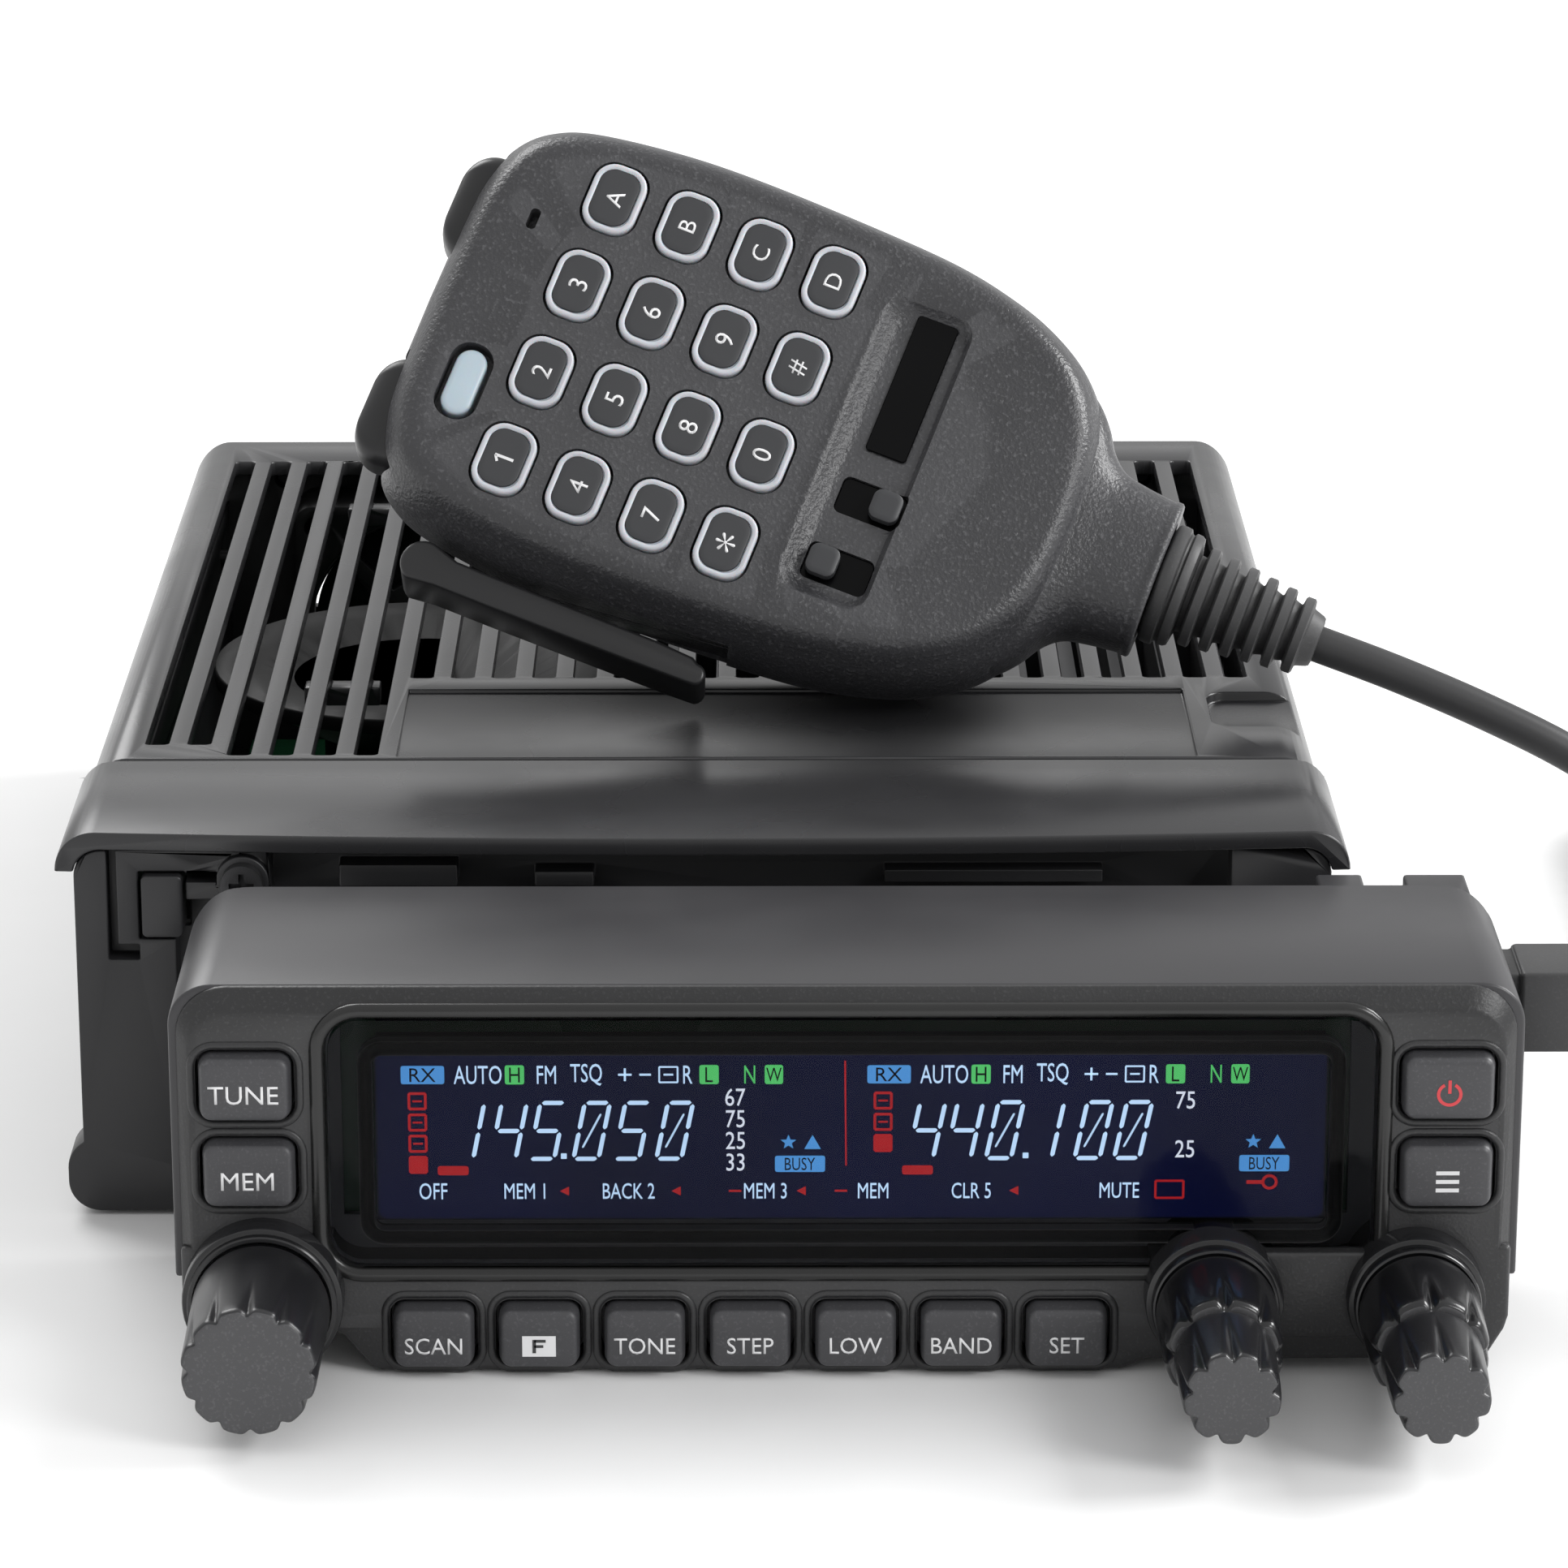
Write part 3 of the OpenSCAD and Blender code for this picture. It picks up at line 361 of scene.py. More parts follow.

# %% [markdown]
# The finishes are named for the slots of the measured record, so each node finds its own. The
# cover is satin paint on steel, the head is satin paint on plastic with a textured bezel, and the
# microphone has a coarse spark-eroded grain that sparkles a little.

# %% The finishes, by slot
# An edge amount below paints a finish's convex edges lighter: a painted highlight along its edges.
FINISH = {
    "cover_paint": finish("cover_paint", (0.021, 0.021, 0.0225), 0.28, 0.18, 0.005, 0.08, edge_highlight=0.3),
    "cast_chassis": finish("cast_chassis", (0.02, 0.02, 0.0215), 0.5, 0.5, 0.02, 0.15, edge_highlight=0.3),
    "frame_plastic": finish("frame_plastic", (0.016, 0.016, 0.0175), 0.42, 0.25, 0.006, 0.08, edge_highlight=0.3),
    "dark_plastic": finish("dark_plastic", (0.007, 0.007, 0.0075), 0.5, 0.25, 0.006, 0.1),
    "shell_plastic": finish("shell_plastic", (0.028, 0.0275, 0.03), 0.37, 0.16, 0.005, 0.05, edge_highlight=0.3),
    "bezel_plastic": finish("bezel_plastic", (0.017, 0.017, 0.018), 0.38, 0.34, 0.03, 0.1, speck=0.1,
        edge_highlight=0.5),
    "key_plastic": finish("key_plastic", (0.046, 0.046, 0.05), 0.42, 0.3, 0.006, 0.05, speck=0.1,
        edge_highlight=0.45),
    "knob_plastic": finish("knob_plastic", (0.012, 0.012, 0.0135), 0.3, 0.22, 0.006, 0.06, edge_highlight=0.5),
    "knob_face": finish("knob_face", (0.055, 0.055, 0.058), 0.55, 0.3, 0.008, 0.06, speck=0.1),
    "ring_gloss": finish("ring_gloss", (0.008, 0.008, 0.009), 0.2, 0.3, 0.002, 0.1, edge_highlight=0.5),
    "mic_plastic": finish("mic_plastic", (0.036, 0.036, 0.039), 0.36, 0.45, 0.12, 0.1, speck=0.2,
        edge_highlight=0.25),
    "mic_trim": finish("mic_trim", (0.01, 0.01, 0.011), 0.35, 0.25, 0.006, 0.1, edge_highlight=0.5),
    "mic_key_top": finish("mic_key_top", (0.034, 0.035, 0.038), 0.45, 0.25, 0.004, 0.05),
    "silicone": finish("silicone", (0.5, 0.52, 0.56), 0.35, 0.5, 0.003, 0.05, Subsurface_Weight=0.25,
        Subsurface_Scale=0.001),
    "membrane": finish("membrane", (0.3, 0.3, 0.31), 0.6, 0.5, 0.01, 0.05),
    "lens": finish("lens", (0.44, 0.53, 0.59), 0.3, 0.4, 0.004, 0.04, Subsurface_Weight=0.4,
        Subsurface_Scale=0.002),
    "cord_rubber": finish("cord_rubber", (0.022, 0.022, 0.023), 0.45, 0.35, 0.01, 0.08),
    "boot_rubber": finish("boot_rubber", (0.03, 0.03, 0.031), 0.5, 0.3, 0.01, 0.06, speck=0.08, edge_highlight=0.4),
    "board": finish("board", (0.01, 0.09, 0.035), 0.3, 1.2, 0.03, 0.2),
    "tin_plate": finish("tin_plate", (0.6, 0.6, 0.6), 0.3, 0.6, 0.01, 0.08, Metallic=1.0),
    "heatsink_metal": finish("heatsink_metal", (0.12, 0.12, 0.125), 0.45, 0.3, 0.02, 0.1, Metallic=0.6),
    "nickel": finish("nickel", (0.66, 0.65, 0.62), 0.22, 0.4, 0.004, 0.06, Metallic=1.0),
    "screw_black": finish("screw_black", (0.04, 0.04, 0.042), 0.35, 0.3, 0.01, 0.15, edge_highlight=0.6,
        Metallic=0.8),
    "display": finish("display", (0.0005, 0.002, 0.02), 0.35, 3.0, 0.001, 0.1),
    "window_rim": finish("window_rim", (0.006, 0.006, 0.006), 0.25, 0.3, 0.004, 0.1, edge_highlight=0.6),
    "badge": finish("badge", (0.0015, 0.0015, 0.0018), 0.25, 0.5, 0.002, 0.1, Specular_IOR_Level=0.12),
    "print_white": finish("print_white", (0.75, 0.75, 0.76), 0.55, 0.2, 0.004, 0.05),
    "print_red": finish("print_red", (0.62, 0.05, 0.06), 0.5, 0.2, 0.004, 0.05),
}
print(len(FINISH), "finishes")

# %% The window's tinted acrylic
window = finish("window_gloss", (0.34, 0.345, 0.36), 0.05, 1.0, 0.0002, 0.02,
    Transmission_Weight=1.0, Specular_IOR_Level=0.22, IOR=1.15)
shader = window.node_tree.nodes["Principled BSDF"]
for link in list(shader.inputs["Roughness"].links) + list(shader.inputs["Normal"].links):
    window.node_tree.links.remove(link)
shader.inputs["Roughness"].default_value = 0.03
FINISH["window_gloss"] = window
print("window transmits", shader.inputs["Transmission Weight"].default_value)

# %% Every measured node takes its slot's finish
slot_of = {part["node"]: part["material_slot"] for part in record["subparts"]}


def dress(piece, finish_name, body=None):
    """Give a piece one finish and the body it rides on."""
    piece.data.materials.clear()
    piece.data.materials.append(FINISH[finish_name])
    if body:
        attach(piece, body)
    return piece


for name, node in frame["nodes"].items():
    node.data.materials.clear()
    node.data.materials.append(FINISH[slot_of[name]])
print(len(slot_of), "nodes dressed")

# %% [markdown]
# ## Softened copies of measured solids
#
# A moulding or a bent sheet has no perfectly sharp edge: a rounding of a few tenths of a
# millimetre draws a thin line of light along it. Many of the measured solids have the right shape
# and lack only that, so a merged copy of each is bevelled and stands in for it.

# %% Bevelled copies
bodies = record["behaviour"]["bodies"]
body_of = {node: body for body, nodes in bodies.items() for node in nodes}


def baked(piece):
    """Replace a piece's mesh by what its modifiers make of it."""
    shape = bpy.data.meshes.new_from_object(piece.evaluated_get(bpy.context.evaluated_depsgraph_get()))
    piece.modifiers.clear()
    piece.data = shape
    return piece


def softened(node, width, join_flats):
    """Merge a copy of a node's triangles, join those of each flat face if asked, and bevel its
    edges by a width in mm."""
    source = frame["nodes"][node]
    piece = bpy.data.objects.new(node + "_soft", source.data.copy())
    bpy.context.collection.objects.link(piece)
    work = bmesh.new()
    work.from_mesh(piece.data)
    bmesh.ops.remove_doubles(work, verts=work.verts, dist=2e-6)
    if join_flats:
        bmesh.ops.dissolve_limit(work, angle_limit=radians(0.6), verts=work.verts, edges=work.edges)
    work.to_mesh(piece.data)
    work.free()
    bevel = piece.modifiers.new("bevel", "BEVEL")
    bevel.width = width * MM
    bevel.segments = 2
    bevel.limit_method = "ANGLE"
    bevel.angle_limit = radians(40)
    bevel.use_clamp_overlap = False
    bevel.miter_outer = "MITER_ARC"
    baked(piece)
    piece.data.shade_smooth()
    piece.data.set_sharp_from_angle(angle=radians(50))
    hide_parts(node)
    return dress(piece, slot_of[node], body_of[node])


# The front frame keeps its triangles: its flats have so many steps and holes that joined faces
# would shade unevenly.
EDGES = {"top_cover": 0.22, "front_frame": 0.18, "release_latch": 0.2, "rear_panel": 0.18,
    "head_shell": 0.35, "fan_frame": 0.15, "antenna_socket": 0.12, "dc_inlet": 0.2, "cord_plug": 0.45,
    "main_chassis": 0.2, "speaker": 0.3, "jack_sockets": 0.15, "body_connector": 0.15, "mic_jack": 0.15}
for node, width in EDGES.items():
    piece = softened(node, width, node != "front_frame")
    print(piece.name, len(piece.data.polygons))

# %% [markdown]
# ## The head's bezel
#
# The bezel is one moulding: a plate whose top and sides slope back to the shell, and a lower block
# that carries the row of keys and stands on the table. Both are stacks of rings, joined, and the
# windows for the display and the keys are then cut through. Cutting is the plain way here, because
# the openings cross both stacks.

# %% Joining and cutting solids
def face_rings(outline, levels):
    """Rings standing in the head's face: outline(inset) gives x and z, and levels lists inset, depth."""
    flat = [outline(inset) for inset, depth in levels]
    return on_head([[(x, depth, z) for x, z in ring] for ring, (inset, depth) in zip(flat, levels)])


def combined(piece, others, how):
    """Join others to a piece, or cut them out of it, and drop them."""
    tools = bpy.data.collections.new(how)
    for other in others:
        bpy.context.collection.objects.unlink(other)
        tools.objects.link(other)
    step = piece.modifiers.new(how, "BOOLEAN")
    step.operation, step.operand_type, step.collection, step.solver = how, "COLLECTION", tools, "EXACT"
    baked(piece)
    for other in others:
        bpy.data.objects.remove(other)
    bpy.data.collections.remove(tools)
    piece.data.shade_smooth()
    piece.data.set_sharp_from_angle(angle=radians(35))
    return piece


def bevelled(piece, width, segments=2, angle=40):
    """Round every edge sharper than the angle by a width in mm."""
    bevel = piece.modifiers.new("bevel", "BEVEL")
    bevel.width, bevel.segments, bevel.limit_method = width * MM, segments, "ANGLE"
    bevel.angle_limit = radians(angle)
    baked(piece)
    piece.data.shade_smooth()
    piece.data.set_sharp_from_angle(angle=radians(50))
    return piece


def tile(x, z, width, height, radius, shift=0.0):
    """An outline function for a rounded tile: inset draws all four sides in, shift moves the middle
    up by shift times the inset."""
    smaller = lambda inset: rounded(width - 2 * inset, height - 2 * inset, max(0.15, radius - inset))
    return lambda inset: smaller(inset) + [x, z + shift * inset]


def plug_through(x, z, width, height, radius, near=-6, far=12):
    """A cutter in the shape of a rounded tile, from one depth to another."""
    return stack("cutter", face_rings(tile(x, z, width, height, radius), [(0, near), (0, far)]))


print("cutters ready")

# %% The sloped plate and the lower block
SIDE_NODES = ("key_left_upper", "key_left_lower", "key_power", "key_menu")
SIDE_KEYS = [(-62, 32.1), (-61.8, 22.6), (62, 32.1), (62.1, 22.4)]
ROW_KEYS = [(-43 + 11 * k, 4.5) for k in range(7)]
DIAL_X, KNOB_XS, KNOB_Z = -60.6, (38.2, 59.2), 9.0
DISPLAY_X, DISPLAY_Z = 0.5, 25.6


def plate(inset):
    """The bezel's outline, drawn in by the inset at the sides and nearly twice that at the top."""
    wide, top, low = 138.4 - 2 * inset, 42.3 - 1.7 * inset, 5.0
    return rounded(wide, top - low, max(2.6, 5.2 - 0.6 * inset)) + [0, (top + low) / 2]


SLOPE = [(0, 3.2), (0, 1.75), (0.05, 1.55), (0.2, 1.4), (1.15, 0.2), (1.4, 0.04), (1.75, 0)]
bezel = stack("bezel", face_rings(plate, SLOPE), 30)
foot = np.array([[-69.2, 14], [-69.2, 5.6], [-68.2, 4.6], [-53.6, 4.6], [-52.4, 4.0], [-49.6, 0.5],
    [-48.6, 0.1], [28.6, 0.1], [29.8, 0.5], [31.2, 1.2], [65.6, 1.2], [67.2, 1.8],
    [68.8, 4.6], [69.2, 6.0], [69.2, 14]])
block = bevelled(stack("block", on_head([[(x, y, z) for x, z in foot] for y in (0.02, 9.2)])), 0.5, 3)
combined(bezel, [block], "UNION")
holes = [plug_through(DISPLAY_X, DISPLAY_Z, 108.6, 27.6, 3.6)]
holes += [plug_through(x, z, 10.3, 7.8, 1.9) for x, z in SIDE_KEYS]
holes += [plug_through(x, z, 9.2, 7.4, 1.6) for x, z in ROW_KEYS]
holes += [plug_through(-10, 5, 79, 7.6, 0.5, 3, 12)]
holes += [plug_through(x, KNOB_Z, 6.8, 6.8, 3.39) for x in (DIAL_X, *KNOB_XS)]
combined(bezel, holes, "DIFFERENCE")
dress(bezel, "bezel_plastic", "head")
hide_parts("head_bezel")
print("bezel faces", len(bezel.data.polygons))

# %% [markdown]
# Raised rims run round the window and every key. Each is a small rounded cross-section carried
# round a rounded rectangle, so its height falls off smoothly and catches a line of light.


# %% Rims round the window and the keys
def rim(name, outlines, half, proud, base=0.4, steps=7):
    """A half-round bead along each outline: at angle t the bead lies half x cos(t) outwards and
    proud x sin(t) forwards, from one foot to the other."""
    t = np.linspace(0, pi, steps)
    points, faces, start = [], [], 0
    for outline in outlines:
        levels = [(-half * cos(a), -proud * sin(a)) for a in t]
        levels = [(levels[0][0], base)] + levels + [(levels[-1][0], base)]
        rings = face_rings(outline, levels)
        faces.append(quads(*rings.shape[:2], wrap=True) + start)
        points.append(rings.reshape(-1, 3))
        start += points[-1].shape[0]
    return outward(mesh_piece(name, np.concatenate(points), np.concatenate(faces).tolist(), 60))


window_rim = rim("window_rim", [tile(DISPLAY_X, DISPLAY_Z, 110.2, 29.2, 4.4)], 0.8, 0.62)
dress(window_rim, "window_rim", "head")
outlines = [tile(x, z, 11.2, 8.7, 2.4) for x, z in SIDE_KEYS]
outlines += [tile(x, z + 0.1, 10.1, 8.3, 2.1) for x, z in ROW_KEYS]
key_rims = rim("key_rims", outlines, 0.42, 0.3)
dress(key_rims, "bezel_plastic", "head")
print("rims", len(key_rims.data.polygons))

# %% Turned collars round the controls
def turned(name, x, z, profile, count=64, sharp=40):
    """A surface of revolution about an axis along y: profile lists depth and radius in mm."""
    turn = np.linspace(0, 2 * pi, count, endpoint=False)
    depth, radius = np.array(profile, float).T
    rings = np.stack([x + radius[:, None] * np.cos(turn), np.repeat(depth[:, None], count, 1),
        z + radius[:, None] * np.sin(turn)], -1)
    return stack(name, on_head(rings), sharp)


DIAL_COLLAR = [(5.7, 7.1), (1.5, 7.1), (1.5, 8.4), (-2.7, 8.4), (-2.95, 8.3), (-3.05, 8.05), (-3.1, 7.8),
    (-3.85, 7.8), (-4.0, 7.65), (-4.02, 7.3), (-3.6, 6.9), (-3.6, 3.5)]
KNOB_COLLAR = [(5.7, 7.2), (-3.1, 7.2), (-3.35, 7.1), (-3.45, 6.9), (-3.5, 6.6), (-4.8, 6.6), (-4.95, 6.5),
    (-5.0, 6.3), (-4.7, 5.9), (-4.7, 3.5)]
collars = {"dial": (DIAL_X, DIAL_COLLAR), "left": (KNOB_XS[0], KNOB_COLLAR),
    "right": (KNOB_XS[1], KNOB_COLLAR)}
for side, (x, profile) in collars.items():
    dress(turned(side + "_collar", x, KNOB_Z, profile), "ring_gloss", "head")
web = bevelled(stack("collar_web", face_rings(tile(sum(KNOB_XS) / 2, KNOB_Z, 16, 9.6, 1.2),
    [(0, 1), (0, -1.4)])), 0.4, 3)
dress(web, "bezel_plastic", "head")
print("collars", len(collars))

# %% [markdown]
# ## Keys
#
# A key top is a small pillow. Its front face is drawn in a little at the sides and more at the
# top, so the top edge shows as a sloping band, and all its edges are rounded.


# %% Key caps
def pillow(name, x, z, width, height, face, radius=1.3):
    """A stack whose inset grows as a quarter circle near the face: deeper at the top by the shift."""
    t = np.linspace(0, pi / 2, 6)
    levels = [(-0.4, 4.2), (-0.4, 3.4), (0, 3.39), (0, face + 1.1)]
    levels += [(0.12 + 0.55 * (1 - cos(a)), face + 0.75 * (1 - sin(a))) for a in t]
    levels += [(1.6, face - 0.04), (2.6, face - 0.07)]
    return stack(name, face_rings(tile(x, z, width, height, radius, -0.45), levels), 45)


SIDE_FACE, ROW_FACE = -1.6, -2.0
caps = {node: (x, z, 9.5, 7.0, SIDE_FACE) for node, (x, z) in zip(SIDE_NODES, SIDE_KEYS)}
caps |= {f"key_row_{k + 1}": (x, z, 8.4, 6.6, ROW_FACE) for k, (x, z) in enumerate(ROW_KEYS)}
for node, sizes in caps.items():
    cap = dress(pillow(node + "_cap", *sizes), "key_plastic", body_of[node])
    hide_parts(node)
print("caps", len(caps))

# %% [markdown]
# ## Printed marks
#
# Legends are printed in white ink. Each word is set as text, turned into a mesh a few hundredths
# of a millimetre thick, and laid on its surface. The words are plain function names chosen for
# this model, and the rest are signs drawn as flat shapes.


# %% Words and signs as thin meshes
def word(text, x, y, size, squeeze=1.0, thick=0.03):
    """Points (mm) and faces of a word centred on x and y, with z through its thickness."""
    curve = bpy.data.curves.new("word", "FONT")
    curve.body, curve.size, curve.extrude = text, size, thick / 2
    curve.align_x, curve.align_y, curve.resolution_u = "CENTER", "CENTER", 3
    carrier = bpy.data.objects.new("word", curve)
    bpy.context.collection.objects.link(carrier)
    shape = bpy.data.meshes.new_from_object(carrier.evaluated_get(bpy.context.evaluated_depsgraph_get()))
    points = np.empty(len(shape.vertices) * 3)
    shape.vertices.foreach_get("co", points)
    faces = [list(p.vertices) for p in shape.polygons]
    bpy.data.objects.remove(carrier)
    points = points.reshape(-1, 3) * [squeeze, 1, 1]
    middle = (points[:, :2].max(0) + points[:, :2].min(0)) / 2
    return points + [x - middle[0], y - middle[1], 0], faces


def flat(outline, thick=0.03):
    """Points and faces of a thin prism on a flat outline of x and y."""
    n = len(outline)
    points = np.concatenate([np.column_stack([outline, np.full(n, h)]) for h in (-thick / 2, thick / 2)])
    faces = [list(range(n))[::-1], list(range(n, 2 * n))] + quads(2, n).tolist()
    return points, faces


def bar(x0, y0, x1, y1, width):
    """A straight stroke between two points."""
    a, b = np.array([x0, y0], float), np.array([x1, y1], float)
    side = np.array([-(b - a)[1], (b - a)[0]]) / max(1e-9, np.linalg.norm(b - a)) * width / 2
    return flat(np.array([a - side, b - side, b + side, a + side]))


def arc(x, y, radius, width, start, end, steps=18):
    """A stroke along a circle from one angle to another, in degrees."""
    t = np.radians(np.linspace(start, end, steps))
    ring = np.stack([np.cos(t), np.sin(t)], -1)
    return flat(np.concatenate([ring * (radius + width / 2), (ring * (radius - width / 2))[::-1]]) + [x, y])


def print_marks(name, marks, place, finish_name, body):
    """Merge marks into one piece; place turns their flat millimetres into points in the scene."""
    points, faces, start = [], [], 0
    for p, f in marks:
        points.append(p)
        faces += [[i + start for i in face] for face in f]
        start += len(p)
    piece = outward(mesh_piece(name, place(np.concatenate(points)), faces, 30))
    return dress(piece, finish_name, body)


def on_face(depth):
    """A place function for marks on the head: x right, y up, at a depth from the bezel's face."""
    return lambda p: on_head(np.stack([p[:, 0], depth - p[:, 2], p[:, 1]], -1))


print("marks ready")

# %% Legends of the head's keys
INK, SHIFT_INK = 0.09, 0.13  # how far marks stand in front of a key's face
for node, text in {"key_left_upper": "TUNE", "key_left_lower": "MEM"}.items():
    x, z = caps[node][:2]
    legend = [word(text, x - 0.1, z - 0.55, 2.85)]
    print_marks(node + "_legend", legend, on_face(SIDE_FACE - INK), "print_white", body_of[node])
x, z = caps["key_power"][:2]
power = [arc(x, z - 0.6, 1.15, 0.34, 118, 422, 26), bar(x, z + 0.95, x, z - 0.5, 0.34)]
print_marks("key_power_legend", power, on_face(SIDE_FACE - INK), "print_red", body_of["key_power"])
x, z = caps["key_menu"][:2]
bars = [bar(x - 1.2, z - 0.55 + d, x + 1.2, z - 0.55 + d, 0.42) for d in (-0.95, 0, 0.95)]
print_marks("key_menu_legend", bars, on_face(SIDE_FACE - INK), "print_white", body_of["key_menu"])
for k, text in enumerate(("SCAN", None, "TONE", "STEP", "LOW", "BAND", "SET")):
    node = f"key_row_{k + 1}"
    x, y = caps[node][0], caps[node][1] - 0.75
    if text:
        legend = word(text, x, y, 2.6, 0.92)
    else:
        legend = flat(np.array([[-1.75, -1.15], [1.75, -1.15], [1.75, 1.15], [-1.75, 1.15]]) + [x, y])
        sign = [bar(x - 0.5, y - 0.75, x - 0.5, y + 0.75, 0.36),
            bar(x - 0.5, y + 0.6, x + 0.7, y + 0.6, 0.32), bar(x - 0.5, y, x + 0.45, y, 0.3)]
        print_marks("shift_sign", sign, on_face(ROW_FACE - SHIFT_INK), "bezel_plastic", body_of[node])
    print_marks(node + "_legend", [legend], on_face(ROW_FACE - INK), "print_white", body_of[node])
print("legends", len(caps))

# %% [markdown]
# ## The display
#
# Behind the tinted window a backlit panel shows navy with pale segments. Each figure has seven
# hexagonal segments, leaning to the right, and a nought has a stroke through it. A frame in the
# bezel's plastic holds the panel.


# %% Seven-segment figures
SEGMENTS = {"0": "abcdefs", "1": "bc", "4": "bcfg", "5": "acdfg"}


def segment(x0, y0, x1, y1, width):
    """A stroke with pointed ends: a hexagon from one end to the other."""
    a, b = np.array([x0, y0], float), np.array([x1, y1], float)
    run = (b - a) / np.linalg.norm(b - a)
    side = np.array([-run[1], run[0]]) * width / 2
    tip = run * width / 2
    return np.array([a, a + tip - side, b - tip - side, b, b - tip + side, a + tip + side])


def figure(text, places, y, width=2.6, height=6.2, stroke=0.46, lean=0.2):
    """Marks for a number: the strokes of each figure, sheared so that x grows by lean x height."""
    marks = []
    for char, x in zip(text, places):
        if char == ".":
            spot = np.array([[-0.3, 0], [0.3, 0], [0.3, 0.6], [-0.3, 0.6]]) + [x, y]
            marks.append(flat(spot))
            continue
        h, g = height / 2, 0.16
        at = {"a": (g, height, width - g, height), "d": (g, 0, width - g, 0), "g": (g, h, width - g, h),
            "f": (0, h + g, 0, height - g), "b": (width, h + g, width, height - g), "e": (0, g, 0, h - g),
            "c": (width, g, width, h - g), "s": (0.7, 1.2, width - 0.7, height - 1.2)}
        for key in SEGMENTS[char]:
            line = segment(*at[key], stroke if key != "s" else 0.22)
            line[:, 0] += lean * line[:, 1]
            marks.append(flat(line + [x, y]))
    return marks


LIGHTS = {"pale": ((0.55, 0.76, 1.0), 2.6), "white": ((0.85, 0.9, 1.0), 2.2),
    "blue": ((0.1, 0.38, 0.85), 1.9), "green": ((0.1, 0.62, 0.16), 2.2), "red": ((0.6, 0.02, 0.025), 1.5)}
for ink, (colour, strength) in LIGHTS.items():
    FINISH["lit_" + ink] = glow("lit_" + ink, colour, strength)
FINISH["lit_navy"] = glow("lit_navy", (0.002, 0.005, 0.06), 1.0, 0.35)
panel = on_face(2.0)
back = stack("display_glow", face_rings(tile(DISPLAY_X, 25.9, 98.2, 18.6, 0.9), [(0, 2.09), (0, 2.04)]))
dress(back, "lit_navy", "head")
digits = figure("145.050", (-41.3, -36.9, -32.9, -29.3, -28.3, -24.1, -19.7), 23.2)
digits += figure("440.100", (6.4, 10.3, 14.5, 18.6, 18.7, 23.7, 27.8), 23.2)
print_marks("display_figures", digits, panel, "lit_pale", "head")
print("figures", len(digits), "strokes")

# %% Small marks of the display
def box_mark(x, y, width, height):
    """A filled box with rounded corners."""
    return flat(rounded(width, height, 0.25, 3) + [x, y])


def frame_mark(x, y, width, height, stroke=0.18):
    """The outline of a box, as four bars."""
    w, h = width / 2, height / 2
    return [bar(x - w, y - h, x + w, y - h, stroke), bar(x - w, y + h, x + w, y + h, stroke),
        bar(x - w, y - h, x - w, y + h, stroke), bar(x + w, y - h, x + w, y + h, stroke)]


def star(x, y, radius):
    """Five points, with the notches between them at 0.42 of the radius."""
    t = np.radians(90 + 36 * np.arange(10))
    r = np.where(np.arange(10) % 2, radius * 0.42, radius)
    return flat(np.stack([x + r * np.cos(t), y + r * np.sin(t)], -1))


TOP, LOW = 32.5, 19.6
lit = {ink: [] for ink in LIGHTS}
cut = []
WORDS = [("pale", "AUTO", 10.7), ("pale", "FM", 17.8), ("pale", "TSQ", 21.9), ("pale", "R", 32.4),
    ("green", "N", 38.8)]
BOXES = [("blue", 5.0, TOP, 4.5, 2.0), ("blue", 44.0, 22.6, 5.2, 1.8), ("green", 14.5, TOP, 2.0, 2.1),
    ("green", 34.6, TOP, 2.0, 2.1), ("green", 41.3, TOP, 1.9, 2.1), ("red", 8.0, 21.9, 3.2, 1.0)]
CUT_WORDS = [("RX", 5.0, TOP, 2.2, 1), ("BUSY", 44.0, 22.6, 2.0, 0.7), ("H", 14.5, TOP, 2.4, 0.8),
    ("L", 34.6, TOP, 2.4, 0.8), ("W", 41.3, TOP, 2.2, 0.7)]
HALVES = [(-48.8, 4, ((37.3, 30.0, "67"), (37.3, 27.6, "75"), (37.3, 25.2, "25"), (37.3, 22.8, "33"))),
    (-0.6, 3, ((35.7, 29.6, "75"), (35.7, 24.2, "25")))]
TRIANGLE = np.array([[-0.85, -0.75], [0.85, -0.75], [0, 0.8]])
ARROW = np.array([[0.5, -0.5], [0.5, 0.5], [-0.45, 0]])
for e, boxes, small in HALVES:
    for ink, text, x in WORDS:
        lit[ink].append(word(text, e + x, TOP, 2.9, 0.62))
    for ink, x, y, wide, high in BOXES:
        lit[ink].append(box_mark(e + x, y, wide, high))
    for text, x, y, size, squeeze in CUT_WORDS:
        cut.append(word(text, e + x, y, size, squeeze, 0.02))
    lit["blue"] += [star(e + 42.8, 25.0, 0.85), flat(TRIANGLE + [e + 45.3, 25.0])]
    for x0, x1, rise in ((25.2, 26.6, 0), (27.4, 28.6, 0), (25.9, 25.9, 0.7)):
        lit["pale"].append(bar(e + x0, TOP - rise, e + x1, TOP + rise, 0.22))
    lit["pale"] += frame_mark(e + 30.4, TOP, 1.9, 1.7) + [bar(e + 29.9, TOP, e + 30.9, TOP, 0.2)]
    lit["white"] += [word(text, e + x, z, 2.75, 0.8) for x, z, text in small]
    heights = [29.6 - 2.35 * k for k in range(boxes)]
    for z in heights:
        lit["red"] += frame_mark(e + 4.4, z, 1.7, 1.7, 0.28) + [bar(e + 3.9, z, e + 4.9, z, 0.2)]
    lit["red"].append(box_mark(e + 4.4, heights[-1], 1.5, 1.5))
